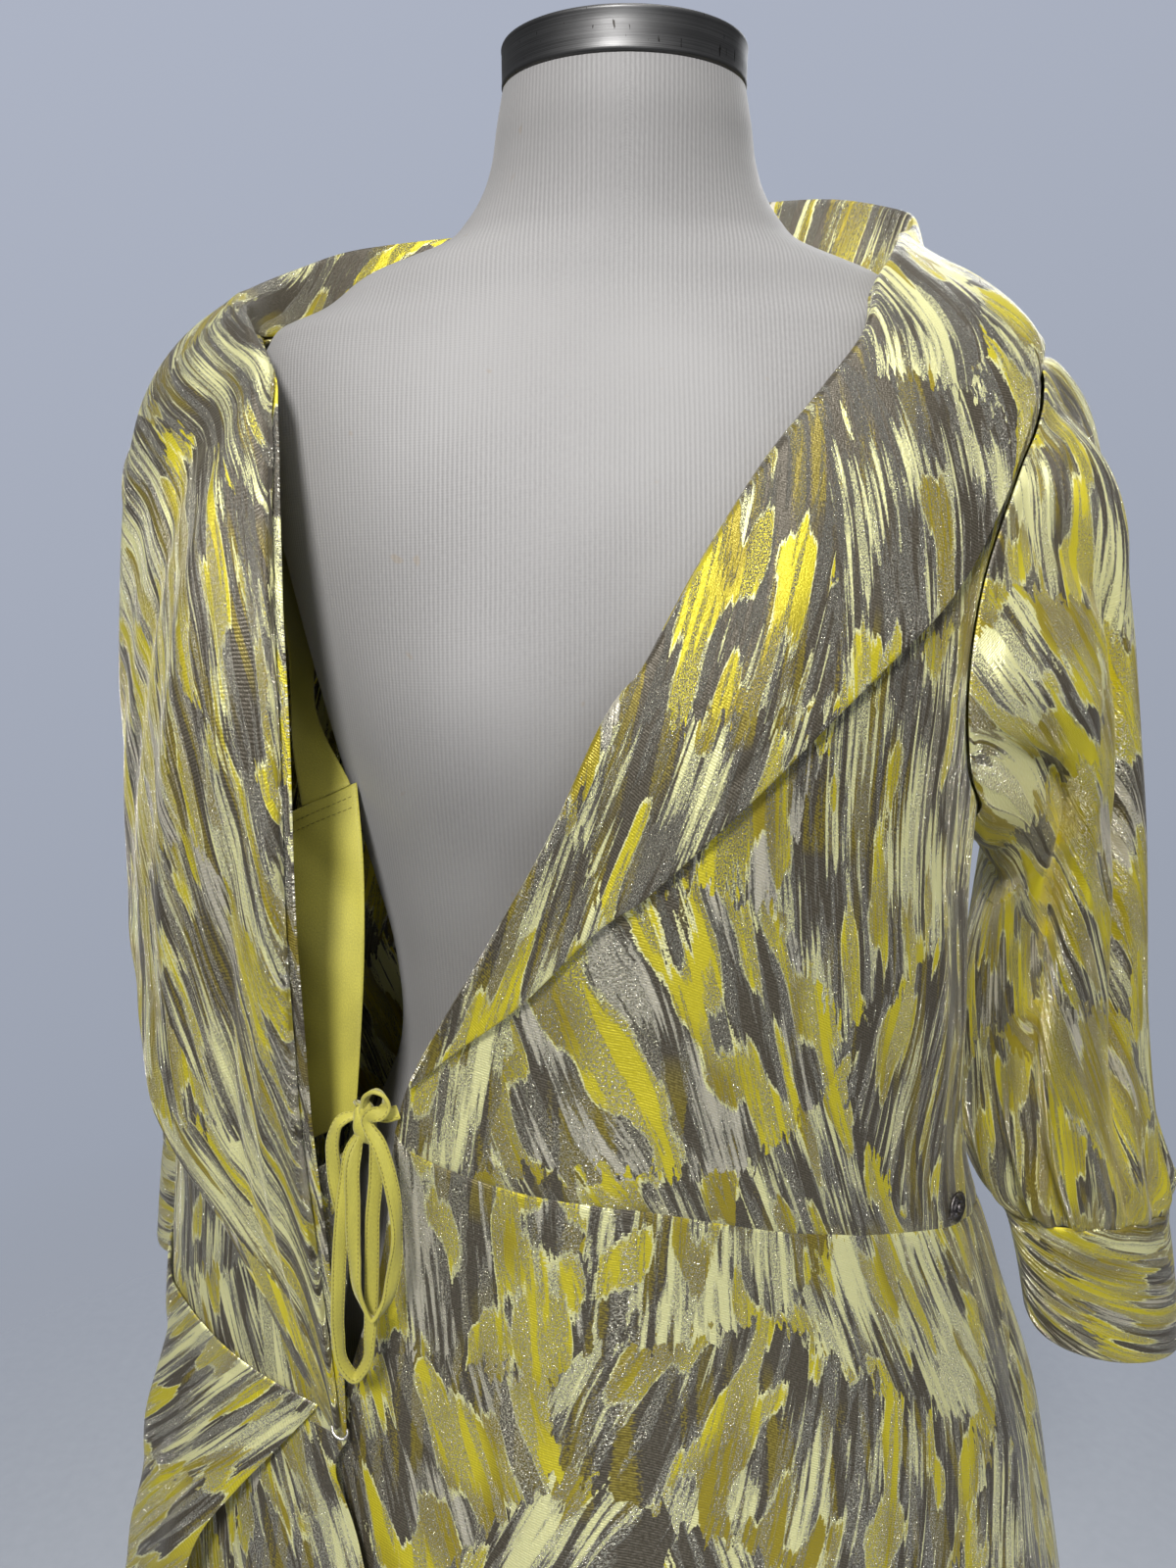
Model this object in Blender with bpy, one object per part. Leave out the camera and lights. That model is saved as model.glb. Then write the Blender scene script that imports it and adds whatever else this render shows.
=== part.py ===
"""An evening gown hanging open on a small limbless dress form.

Metres, +Z up. The form's axis is the Z axis, its front faces -Y, and the stand's base rests on z = 0.
Left and right are the wearer's, so the gown's left side is at +X.
"""

import math

import bpy
import numpy as np

# Driving dimensions
CLOTH = 0.0015  # thickness of every cloth wall
SEAM = 0.0004  # gap between two pieces that are sewn together
LAID_ON = 0.0012  # clearance of a piece that lies on another piece
RING_POWER = 0.8  # 1 gives elliptical rings, smaller gives squarer ones
CAP_RADIUS = 0.0560
CAP_BOTTOM = 1.5064
CAP_TOP = 1.5240
POLE_RADIUS = 0.0160
BASE_RADIUS = 0.1950
BASE_HEIGHT = 0.0120
TORSO_BOTTOM = 0.8200
TAPE_WIDTH = 0.0075
TAPE_THICKNESS = 0.0014
SNAP_RADIUS = 0.0074
SNAP_HEIGHT = 0.0026
HOOK_WIRE = 0.0007

# Colours and finishes: red, green, blue, roughness, metallic
JACQUARD = (0.62, 0.56, 0.16, 0.42, 0.25)
CREPE = (0.66, 0.62, 0.06, 0.75, 0.0)
LINEN = (0.66, 0.63, 0.58, 0.85, 0.0)
BRUSHED_STEEL = (0.55, 0.55, 0.54, 0.32, 1.0)
DARK_METAL = (0.10, 0.09, 0.10, 0.35, 0.9)


def table(names, rows):
    """Rows of numbers as a dictionary with an array for each named column."""
    return dict(zip(names.split(), np.array(rows, float).T))


# The gown's body, as level rings: how far its widest points and its front and back stand from the axis
GOWN = table(
    "z left_x right_x front_y back_y left_y right_y",
    (
        (0.035, 0.405, 0.405, -0.315, 0.335, 0.000, 0.000),
        (0.280, 0.356, 0.352, -0.268, 0.278, 0.004, 0.000),
        (0.500, 0.314, 0.308, -0.224, 0.222, 0.008, -0.004),
        (0.700, 0.269, 0.268, -0.180, 0.168, 0.010, -0.012),
        (0.850, 0.2345, 0.246, -0.148, 0.130, 0.008, -0.026),
        (0.930, 0.2060, 0.236, -0.138, 0.112, -0.006, -0.034),
        (1.000, 0.1785, 0.228, -0.136, 0.100, -0.032, -0.040),
        (1.080, 0.172, 0.222, -0.141, 0.096, -0.030, -0.042),
        (1.160, 0.168, 0.218, -0.145, 0.099, -0.024, -0.040),
        (1.240, 0.174, 0.214, -0.142, 0.104, -0.016, -0.030),
        (1.290, 0.184, 0.213, -0.131, 0.105, -0.009, -0.020),
        (1.340, 0.195, 0.212, -0.112, 0.103, -0.003, -0.010),
        (1.370, 0.198, 0.206, -0.096, 0.099, 0.000, -0.004),
        (1.388, 0.190, 0.192, -0.085, 0.095, 0.000, 0.000),
        (1.400, 0.172, 0.172, -0.077, 0.091, 0.000, 0.000),
        (1.415, 0.143, 0.143, -0.067, 0.084, 0.000, 0.000),
        (1.430, 0.117, 0.117, -0.062, 0.077, 0.000, 0.000),
        (1.450, 0.082, 0.082, -0.058, 0.070, 0.000, 0.000),
    ),
)

# The skirt's standing folds: where each is, its half width and depth at the hem, and where it starts
SKIRT_FOLDS = table(
    "turn half_width depth start_z",
    (
        (12, 13, 0.022, 0.86),
        (44, 12, 0.036, 0.93),
        (74, 12, -0.022, 0.90),
        (108, 12, 0.045, 0.92),
        (140, 13, 0.034, 0.88),
        (170, 12, 0.042, 0.92),
        (200, 12, 0.036, 0.88),
        (232, 13, 0.045, 0.92),
        (262, 12, -0.020, 0.90),
        (292, 13, 0.038, 0.90),
        (324, 12, 0.032, 0.86),
        (344, 9, -0.016, 0.80),
    ),
)

# Half angles of the armholes in front of and behind the side seam, and their lowest and highest points
ARMHOLES = {
    "left": {"turn": 90.0, "front": 39.0, "back": 35.0, "low_z": 1.166, "high_z": 1.388},
    "right": {"turn": 270.0, "front": 8.0, "back": 45.0, "low_z": 1.160, "high_z": 1.370},
}
WAIST_Z = {"left": 0.9645, "right": 0.950}
NECK_Z = {"left": 1.428, "right": 1.400}
HEM_Z = 0.035

# The front panels: rows from the waist seam up. up_side is 0 at the waist, 1 at the underarm and 2 at
# the shoulder point, and the other end of the row is a point on the front edge or on the neckline
FRONT_LEFT = table(
    "up_side edge_turn edge_z sag",
    (
        (0.00, -21.9, 1.055, 0.018),
        (0.24, -19.5, 1.084, 0.012),
        (0.48, -11.5, 1.143, 0.004),
        (0.74, -5.3, 1.194, 0.000),
        (1.00, 0.0, 1.255, 0.000),
        (1.28, 5.0, 1.300, 0.000),
        (1.53, 10.8, 1.336, 0.000),
        (1.73, 17.5, 1.363, 0.000),
        (1.87, 25.2, 1.388, 0.000),
        (1.95, 39.5, 1.411, 0.000),
        (1.98, 62.0, 1.424, 0.000),
        (2.00, 90.0, 1.428, 0.000),
    ),
)
FRONT_RIGHT = table(
    "up_side edge_turn edge_z sag",
    (
        (0.00, 332.0, 0.892, 0.000),
        (0.24, 331.0, 0.934, 0.000),
        (0.48, 328.4, 0.985, 0.000),
        (0.74, 326.6, 1.048, 0.000),
        (1.00, 325.5, 1.115, 0.000),
        (1.28, 324.5, 1.200, 0.000),
        (1.53, 323.6, 1.276, 0.000),
        (1.73, 322.0, 1.335, 0.000),
        (1.87, 317.5, 1.374, 0.000),
        (1.95, 305.0, 1.392, 0.000),
        (1.98, 288.0, 1.398, 0.000),
        (2.00, 270.0, 1.400, 0.000),
    ),
)

# The back neckline, from the left neck point round to the right one
NECKLINE = table(
    "turn z",
    ((90, 1.428), (106, 1.418), (127, 1.412), (152, 1.4215), (180, 1.428), (208, 1.421), (232, 1.412),
     (250, 1.4065), (270, 1.400)),
)

# The skirt's front panels: rows from the waist seam down to the hem. down is 0 at the waist and 1 at the
# hem on the side seam, and the other end of the row is a point on the front edge
SKIRT_LEFT = table(
    "down edge_turn edge_z sag",
    (
        (0.000, -21.9, 1.055, 0.018),
        (0.045, -24.0, 0.985, 0.010),
        (0.100, -29.5, 0.905, 0.003),
        (0.180, -32.0, 0.830, 0.000),
        (0.370, -36.0, 0.640, 0.000),
        (0.610, -40.0, 0.410, 0.000),
        (0.820, -43.0, 0.205, 0.000),
        (1.000, -45.0, 0.035, 0.000),
    ),
)
SKIRT_RIGHT = table(
    "down edge_turn edge_z sag",
    (
        (0.000, 332.0, 0.892, 0.000),
        (0.045, 330.5, 0.873, 0.000),
        (0.100, 334.5, 0.835, 0.000),
        (0.180, 340.0, 0.755, 0.000),
        (0.370, 344.0, 0.600, 0.000),
        (0.610, 347.0, 0.400, 0.000),
        (0.820, 349.0, 0.200, 0.000),
        (1.000, 350.0, 0.035, 0.000),
    ),
)
SEAM_SWING = 26.0  # how far forward the left side seam swings below the waist, in degrees

# The draped corner that falls from the right waist seam over the skirt's right front
CASCADE = table(
    "side_z edge_turn edge_z lift",
    (
        (0.958, 328.0, 0.909, 0.0000),
        (0.932, 325.0, 0.896, 0.0015),
        (0.895, 321.2, 0.880, 0.0040),
        (0.850, 317.0, 0.862, 0.0060),
        (0.800, 312.6, 0.838, 0.0080),
        (0.740, 309.5, 0.803, 0.0100),
        (0.680, 306.0, 0.745, 0.0110),
        (0.625, 298.0, 0.680, 0.0120),
        (0.585, 284.0, 0.620, 0.0120),
    ),
)

# The collar: neck_turn and neck_z are its seam on the gown, lean and rise are its stand, and edge_turn,
# edge_z and edge_out are its outer edge. puff is how far it stands off the gown between the two
COLLAR_LEFT = table(
    "neck_turn neck_z lean rise edge_turn edge_z edge_out puff",
    (
        (180.0, 1.4280, 0.016, 0.048, 180.0, 1.350, 0.0045, 0.006),
        (160.0, 1.4250, 0.027, 0.062, 160.0, 1.352, 0.0045, 0.008),
        (140.0, 1.4165, 0.031, 0.074, 141.0, 1.356, 0.0045, 0.010),
        (124.0, 1.4120, 0.024, 0.066, 126.0, 1.366, 0.0045, 0.012),
        (106.0, 1.4170, 0.009, 0.042, 108.0, 1.382, 0.0050, 0.012),
        (90.0, 1.4245, 0.001, 0.020, 84.0, 1.391, 0.0060, 0.010),
        (66.0, 1.4245, 0.001, 0.008, 63.0, 1.383, 0.0060, 0.008),
        (42.0, 1.4130, 0.003, 0.004, 54.5, 1.363, 0.0050, 0.007),
        (26.0, 1.3900, 0.004, 0.002, 48.0, 1.325, 0.0045, 0.006),
        (15.0, 1.3560, 0.005, 0.000, 41.0, 1.292, 0.0045, 0.006),
        (7.0, 1.3130, 0.005, 0.000, 31.0, 1.266, 0.0045, 0.005),
        (0.0, 1.2550, 0.005, 0.000, 18.0, 1.231, 0.0045, 0.004),
        (-5.3, 1.1940, 0.005, 0.000, 3.0, 1.181, 0.0045, 0.003),
        (-11.5, 1.1430, 0.005, 0.000, -7.5, 1.125, 0.0045, 0.002),
        (-16.2, 1.1080, 0.004, 0.000, -14.8, 1.098, 0.0045, 0.001),
        (-19.3, 1.0850, 0.003, 0.000, -19.6, 1.080, 0.0045, 0.000),
    ),
)
COLLAR_RIGHT = table(
    "neck_turn neck_z lean rise edge_turn edge_z edge_out puff",
    (
        (180.0, 1.4280, 0.016, 0.048, 180.0, 1.350, 0.0045, 0.006),
        (208.0, 1.4210, 0.018, 0.047, 208.0, 1.352, 0.0045, 0.008),
        (232.0, 1.4120, 0.016, 0.046, 236.0, 1.368, 0.0060, 0.008),
        (250.0, 1.4065, 0.011, 0.035, 256.0, 1.374, 0.0110, 0.006),
        (268.0, 1.4000, 0.004, 0.024, 266.0, 1.345, 0.0270, 0.003),
        (288.0, 1.3980, 0.003, 0.012, 268.0, 1.300, 0.0240, 0.003),
        (304.0, 1.3920, 0.004, 0.005, 268.0, 1.262, 0.0220, 0.003),
        (315.8, 1.3790, 0.005, 0.002, 268.0, 1.235, 0.0200, 0.003),
        (320.0, 1.3550, 0.006, 0.000, 268.0, 1.210, 0.0190, 0.003),
        (321.8, 1.3200, 0.006, 0.000, 269.0, 1.185, 0.0180, 0.003),
        (322.8, 1.2600, 0.006, 0.000, 273.0, 1.152, 0.0160, 0.003),
        (323.5, 1.1900, 0.006, 0.000, 281.0, 1.115, 0.0140, 0.003),
        (324.1, 1.1200, 0.006, 0.000, 291.5, 1.078, 0.0125, 0.003),
        (325.0, 1.0550, 0.006, 0.000, 302.0, 1.034, 0.0120, 0.003),
        (326.2, 1.0080, 0.006, 0.000, 311.0, 0.998, 0.0090, 0.002),
        (327.8, 0.9700, 0.005, 0.000, 318.5, 0.966, 0.0070, 0.001),
        (329.8, 0.9320, 0.004, 0.000, 324.5, 0.932, 0.0055, 0.001),
        (331.2, 0.9010, 0.003, 0.000, 330.0, 0.901, 0.0045, 0.000),
    ),
)

# The sleeves: outer and inner side of each ring, its middle from front to back, and its half depth
SLEEVE_LEFT = table(
    "outer_x outer_z inner_x inner_z mid_y half_y",
    (
        (0.196, 1.3880, 0.168, 1.166, -0.015, 0.080),
        (0.2085, 1.3815, 0.175, 1.160, -0.014, 0.079),
        (0.2205, 1.3660, 0.183, 1.154, -0.012, 0.076),
        (0.2270, 1.3440, 0.191, 1.149, -0.010, 0.073),
        (0.2315, 1.3160, 0.198, 1.145, -0.008, 0.070),
        (0.2405, 1.2820, 0.202, 1.140, -0.006, 0.067),
        (0.2520, 1.2350, 0.198, 1.127, -0.004, 0.064),
        (0.2645, 1.1800, 0.195, 1.104, -0.002, 0.061),
        (0.2750, 1.1260, 0.193, 1.071, 0.000, 0.058),
        (0.2850, 1.0700, 0.194, 1.032, 0.002, 0.056),
        (0.2950, 1.0100, 0.200, 0.988, 0.002, 0.056),
        (0.3045, 0.9680, 0.211, 0.956, 0.000, 0.055),
        (0.310, 0.9440, 0.2230, 0.934, 0.000, 0.048),
    ),
)
CUFF_LEFT = table(
    "outer_x outer_z inner_x inner_z mid_y half_y",
    (
        (0.310, 0.9440, 0.2230, 0.934, 0.000, 0.048),
        (0.321, 0.8970, 0.2355, 0.893, 0.000, 0.045),
        (0.330, 0.8540, 0.2460, 0.852, 0.000, 0.045),
    ),
)
SLEEVE_RIGHT = table(
    "outer_x outer_z inner_x inner_z mid_y half_y",
    (
        (-0.206, 1.3700, -0.218, 1.160, 0.000, 0.055),
        (-0.217, 1.3660, -0.222, 1.154, 0.004, 0.054),
        (-0.228, 1.3530, -0.2235, 1.146, 0.012, 0.053),
        (-0.234, 1.3320, -0.2225, 1.138, 0.022, 0.052),
        (-0.239, 1.3020, -0.2205, 1.128, 0.033, 0.052),
        (-0.245, 1.2640, -0.2180, 1.118, 0.044, 0.052),
        (-0.252, 1.2160, -0.2180, 1.104, 0.055, 0.052),
        (-0.260, 1.1620, -0.2190, 1.082, 0.065, 0.053),
        (-0.267, 1.1060, -0.2200, 1.052, 0.074, 0.053),
        (-0.274, 1.0500, -0.2200, 1.020, 0.082, 0.053),
        (-0.281, 0.9980, -0.2180, 0.980, 0.088, 0.053),
        (-0.288, 0.9580, -0.2140, 0.946, 0.093, 0.052),
        (-0.290, 0.9340, -0.2160, 0.926, 0.095, 0.046),
    ),
)
CUFF_RIGHT = table(
    "outer_x outer_z inner_x inner_z mid_y half_y",
    (
        (-0.290, 0.9340, -0.216, 0.926, 0.095, 0.046),
        (-0.299, 0.8890, -0.225, 0.884, 0.099, 0.043),
        (-0.307, 0.8460, -0.233, 0.843, 0.103, 0.043),
    ),
)
HEAD_PLEATS = 7  # pleats over the whole head, deepest at the shoulder
HEAD_PLEAT_DEPTH = 0.0045
CUFF_GATHERS = 14
CUFF_GATHER_DEPTH = 0.0034
SLEEVE_AROUND = 42  # points round a sleeve, three for each gather

# The yellow crepe underbodice inside the right front, its strap, and the facing that hangs below it. Each
# row runs from a place on the gown's inner face to a front end
INNER_PANEL = table(
    "side_turn side_z front_x front_y front_z bow",
    (
        (272.0, 1.005, -0.1260, -0.100, 1.047, 0.006),
        (272.0, 1.050, -0.1235, -0.095, 1.080, 0.009),
        (272.0, 1.094, -0.1215, -0.087, 1.120, 0.010),
        (272.0, 1.132, -0.1220, -0.076, 1.160, 0.008),
        (272.0, 1.154, -0.1260, -0.062, 1.196, 0.005),
    ),
)
INNER_STRAP = table(
    "side_x side_y side_z front_x front_y front_z bow",
    (
        (-0.1520, -0.0605, 1.1854, -0.1290, -0.0625, 1.1960, 0.0008),
        (-0.1600, -0.0400, 1.2120, -0.1500, -0.0300, 1.2220, 0.000),
        (-0.1680, -0.0060, 1.2500, -0.1620, 0.0180, 1.2520, 0.000),
        (-0.1740, -0.0020, 1.2870, -0.1700, 0.0220, 1.2880, 0.000),
        (-0.1820, -0.0020, 1.3320, -0.1790, 0.0220, 1.3320, 0.000),
        (-0.1850, -0.0040, 1.3870, -0.1850, 0.0160, 1.3870, 0.000),
    ),
)
FACING_RIGHT = table(
    "side_turn side_z front_x front_y front_z bow",
    (
        (325.0, 1.028, -0.1270, -0.1020, 1.0300, 0.003),
        (325.6, 0.995, -0.1290, -0.1050, 0.9950, 0.003),
        (326.8, 0.960, -0.1330, -0.1100, 0.9580, 0.002),
        (328.4, 0.930, -0.1365, -0.1150, 0.9280, 0.001),
    ),
)

# The dress form, as level rings, closed at the bottom
FORM = table(
    "z half_x front_y back_y",
    (
        (0.820, 0.140, -0.085, 0.072),
        (0.845, 0.158, -0.097, 0.084),
        (0.880, 0.167, -0.104, 0.090),
        (0.930, 0.163, -0.103, 0.090),
        (0.985, 0.140, -0.094, 0.082),
        (1.040, 0.119, -0.085, 0.072),
        (1.098, 0.1197, -0.090, 0.072),
        (1.148, 0.1305, -0.100, 0.078),
        (1.212, 0.145, -0.110, 0.087),
        (1.270, 0.1585, -0.110, 0.094),
        (1.330, 0.170, -0.098, 0.094),
        (1.3765, 0.174, -0.078, 0.087),
        (1.396, 0.169, -0.068, 0.081),
        (1.4045, 0.162, -0.064, 0.078),
        (1.4115, 0.145, -0.061, 0.075),
        (1.4285, 0.119, -0.057, 0.069),
        (1.4425, 0.0823, -0.055, 0.063),
        (1.451, 0.0735, -0.0545, 0.061),
        (1.4625, 0.0658, -0.0545, 0.0595),
        (1.475, 0.0613, -0.055, 0.058),
        (1.491, 0.0586, -0.056, 0.0565),
        (1.506, 0.0556, -0.0556, 0.0556),
    ),
)
BUST_X, BUST_Z, BUST_RADIUS, BUST_DEPTH = 0.070, 1.228, 0.052, 0.012

# The ties: the route of each tape's middle line
TIE_ROUTES = {
    "tie_lead_left": ((-0.0992, -0.1372, 1.0672), (-0.1045, -0.1395, 1.0668), (-0.1084, -0.1385, 1.0662)),
    "tie_lead_right": ((-0.1235, -0.1010, 1.0510), (-0.1205, -0.1130, 1.0580), (-0.1158, -0.1325, 1.0625)),
    "tie_loop_top": (
        (-0.1135, -0.1385, 1.0720), (-0.1125, -0.1395, 1.0805), (-0.1075, -0.1405, 1.0850),
        (-0.1020, -0.1415, 1.0825), (-0.1000, -0.1430, 1.0770), (-0.1020, -0.1450, 1.0725),
    ),
    "tie_loop_long": (
        (-0.1190, -0.1385, 1.0532), (-0.1225, -0.1415, 1.0360), (-0.1255, -0.1435, 1.0140),
        (-0.1280, -0.1450, 0.9850), (-0.1290, -0.1460, 0.9610), (-0.1270, -0.1465, 0.9450),
        (-0.1225, -0.1465, 0.9390), (-0.1175, -0.1460, 0.9450), (-0.1150, -0.1450, 0.9600),
        (-0.1135, -0.1440, 0.9800), (-0.1120, -0.1420, 1.0150), (-0.1105, -0.1380, 1.0532),
    ),
    "tie_loop_short": (
        (-0.1115, -0.1424, 1.0680), (-0.1040, -0.1465, 1.0560), (-0.1000, -0.1495, 1.0370),
        (-0.0995, -0.1505, 1.0160), (-0.1025, -0.1510, 0.9960), (-0.1070, -0.1510, 0.9800),
        (-0.1125, -0.1510, 0.9730), (-0.1175, -0.1505, 0.9820), (-0.1190, -0.1495, 1.0040),
        (-0.1185, -0.1480, 1.0280), (-0.1180, -0.1440, 1.0500),
    ),
    "tie_end_left": (
        (-0.1200, -0.1350, 1.0640), (-0.1250, -0.1355, 1.0620), (-0.1285, -0.1355, 1.0540),
        (-0.1290, -0.1360, 1.0400), (-0.1275, -0.1365, 1.0250), (-0.1250, -0.1365, 1.0130),
    ),
}
KNOT_MIDDLE = (-0.1137, -0.1375, 1.0625)
KNOT_HALF = (0.0052, 0.0042, 0.0100)
HOOK_ROUTE = (
    (-0.1370, -0.1360, 0.9035), (-0.1360, -0.1380, 0.9010), (-0.1335, -0.1395, 0.8995),
    (-0.1310, -0.1395, 0.8990), (-0.1295, -0.1380, 0.9000), (-0.1300, -0.1362, 0.9015),
)


def smooth_value(at, knots, values):
    """Cubic curve through the knots, whose slope at each comes from its neighbours."""
    at = np.asarray(at, float)
    slopes = np.gradient(values, knots)
    i = np.clip(np.searchsorted(knots, at) - 1, 0, len(knots) - 2)
    span = knots[i + 1] - knots[i]
    t = np.clip((at - knots[i]) / span, 0, 1)
    near = (1 + 2 * t) * (1 - t) ** 2 * values[i] + t * (1 - t) ** 2 * span * slopes[i]
    far = t * t * (3 - 2 * t) * values[i + 1] - t * t * (1 - t) * span * slopes[i + 1]
    return near + far


def smooth_rows(columns, count):
    """Every column read at count places spread evenly over the table's rows, as columns of a grid."""
    rows = len(next(iter(columns.values())))
    at = np.linspace(0, rows - 1, count)
    knots = np.arange(rows, dtype=float)
    return {name: smooth_value(at, knots, values)[:, None] for name, values in columns.items()}


def smooth_step(value):
    """0 below 0, 1 above 1, and a smooth rise between."""
    t = np.clip(value, 0, 1)
    return t * t * (3 - 2 * t)


def angle_between(turn, other):
    """Difference of two directions in degrees, between -180 and 180."""
    return (turn - other + 180) % 360 - 180


def gown_ring(turn, z):
    """Point of the gown's smooth body: on each quarter a superellipse between two of the ring's extremes."""
    ring = {name: smooth_value(z, GOWN["z"], values) for name, values in GOWN.items() if name != "z"}
    angle = np.radians(turn)
    across, along = np.sin(angle), np.cos(angle)
    side_x = np.where(across >= 0, ring["left_x"], ring["right_x"])
    side_y = np.where(across >= 0, ring["left_y"], ring["right_y"])
    end_y = np.where(along >= 0, ring["front_y"], ring["back_y"])
    x = side_x * np.sign(across) * np.abs(across) ** RING_POWER
    y = side_y + (end_y - side_y) * np.abs(along) ** RING_POWER
    return np.stack([x, y, z + 0 * x], -1)


def fold_height(turn, z):
    """How far the skirt's folds stand out: a bell across each fold, which grows from its start to the hem."""
    height = np.zeros(np.broadcast(turn, z).shape)
    for middle, half_width, depth, start in zip(*SKIRT_FOLDS.values()):
        across = np.exp(-((angle_between(turn, middle) / half_width) ** 2))
        height = height + depth * across * smooth_step((start - z) / (start - HEM_Z))
    return height


def gown_point(turn, z, out=0.0):
    """Point of the gown's inner face moved out along its normal, with the folds added."""
    turn, z = np.broadcast_arrays(np.asarray(turn, float), np.asarray(z, float))
    around = gown_ring(turn + 0.4, z) - gown_ring(turn - 0.4, z)
    upward = gown_ring(turn, z + 0.001) - gown_ring(turn, z - 0.001)
    normal = np.cross(around, upward)
    normal /= np.linalg.norm(normal, axis=-1, keepdims=True)
    return gown_ring(turn, z) + normal * (fold_height(turn, z) + out)[..., None]


def side_point(side, up_side, back=False):
    """Turn and height on the side seam (0 to 1), the armhole (1 to 2) and the shoulder seam (2 to 3)."""
    hole = ARMHOLES[side]
    seam_z = WAIST_Z[side] + (hole["low_z"] - WAIST_Z[side]) * up_side
    middle_z = (hole["low_z"] + hole["high_z"]) / 2
    half_z = (hole["high_z"] - hole["low_z"]) / 2
    angle = math.pi * (np.clip(up_side, 1, 2) - 1.5)
    to_front = 1 if side == "left" else -1
    sweep = hole["back"] if back else -hole["front"]
    turn = hole["turn"] + to_front * sweep * np.cos(angle)
    shoulder_z = hole["high_z"] + (NECK_Z[side] - hole["high_z"]) * (up_side - 2)
    z = np.where(up_side < 1, seam_z, np.where(up_side < 2, middle_z + half_z * np.sin(angle), shoulder_z))
    return turn, z


def drawn_in(grid, gap=SEAM / 2):
    """The grid with its four edges moved in by half a seam, so that sewn pieces don't touch."""
    grid = grid.copy()
    for edge, inside in ((0, 1), (-1, -2)):
        for view in (grid, grid.transpose(1, 0, 2)):
            step = view[inside] - view[edge]
            view[edge] += step * (gap / np.linalg.norm(step, axis=-1, keepdims=True))
    return grid


def cloth_grids(turn, z, out):
    """Inner and outer face of a panel of the gown's body, drawn in at its edges."""
    return drawn_in(gown_point(turn, z, out)), drawn_in(gown_point(turn, z, out + CLOTH))


def material_of(name, finish):
    """Principled material with one of the finishes above, made once for each object's name."""
    made = bpy.data.materials.new(name)
    made.use_nodes = True
    shader = made.node_tree.nodes["Principled BSDF"]
    shader.inputs["Base Color"].default_value = (*finish[:3], 1.0)
    shader.inputs["Roughness"].default_value = finish[3]
    shader.inputs["Metallic"].default_value = finish[4]
    return made


def add_mesh(name, points, faces, finish, smooth=True):
    """Object from points and faces, turned right side out if its volume comes out negative."""
    points = np.asarray(points, float)
    volume = 0.0
    for face in faces:
        corners = points[list(face)]
        for k in range(1, len(face) - 1):
            volume += float(np.dot(corners[0], np.cross(corners[k], corners[k + 1])))
    if volume < 0:
        faces = [tuple(reversed(face)) for face in faces]
    mesh = bpy.data.meshes.new(name)
    mesh.from_pydata(points.tolist(), [], faces)
    mesh.update()
    if smooth:
        mesh.shade_smooth()
        mesh.set_sharp_from_angle(angle=math.radians(40))
    mesh.materials.append(material_of(name, finish))
    made = bpy.data.objects.new(name, mesh)
    bpy.context.scene.collection.objects.link(made)
    return made


def grid_faces(rows, cols, closed, start=0, flip=False):
    """Triangles of a grid of points, joined round when closed. Every square is cut along the same diagonal, so
    the two faces of a thin wall follow each other."""
    faces = []
    for i in range(rows - 1):
        for j in range(cols if closed else cols - 1):
            k = (j + 1) % cols
            quad = (i * cols + j, i * cols + k, (i + 1) * cols + k, (i + 1) * cols + j)
            a, b, c, d = (start + point for point in quad)
            faces += [(c, b, a), (d, c, a)] if flip else [(a, b, c), (a, c, d)]
    return faces


def add_wall(name, inner, outer, finish, closed=False):
    """Closed cloth wall between two grids of points, as a sheet or, when closed, as a tube open at both ends."""
    rows, cols = inner.shape[:2]
    points = np.concatenate([inner.reshape(-1, 3), outer.reshape(-1, 3)])
    far = rows * cols
    faces = grid_faces(rows, cols, closed, 0, True) + grid_faces(rows, cols, closed, far)
    for row, flip in ((0, False), (rows - 1, True)):
        for j in range(cols if closed else cols - 1):
            a, b = row * cols + j, row * cols + (j + 1) % cols
            quad = (a, b, far + b, far + a)
            faces.append(quad[::-1] if flip else quad)
    if not closed:
        for col, flip in ((0, True), (cols - 1, False)):
            for i in range(rows - 1):
                a, b = i * cols + col, (i + 1) * cols + col
                quad = (a, b, far + b, far + a)
                faces.append(quad[::-1] if flip else quad)
    return add_mesh(name, points, faces, finish)


def grid_normals(grid, closed=False):
    """Unit normals of a grid of points, from the steps along its rows and columns."""
    down = np.gradient(grid, axis=0)
    if closed:
        across = np.roll(grid, -1, axis=1) - np.roll(grid, 1, axis=1)
    else:
        across = np.gradient(grid, axis=1)
    normal = np.cross(down, across)
    return normal / np.linalg.norm(normal, axis=-1, keepdims=True)


def add_front(name, side, rows_table, rows, cols):
    """Front bodice panel: each row runs from the side seam or armhole to the front edge or neckline."""
    row = smooth_rows(rows_table, rows)
    side_turn, side_z = side_point(side, np.clip(row["up_side"], 0, 2))
    u = np.linspace(0, 1, cols)[None, :]
    turn = side_turn + (row["edge_turn"] - side_turn) * u
    z = side_z + (row["edge_z"] - side_z) * u - row["sag"] * np.sin(math.pi * np.sqrt(1 - u))
    add_wall(name, *cloth_grids(turn, z, 0.0), JACQUARD)


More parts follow.
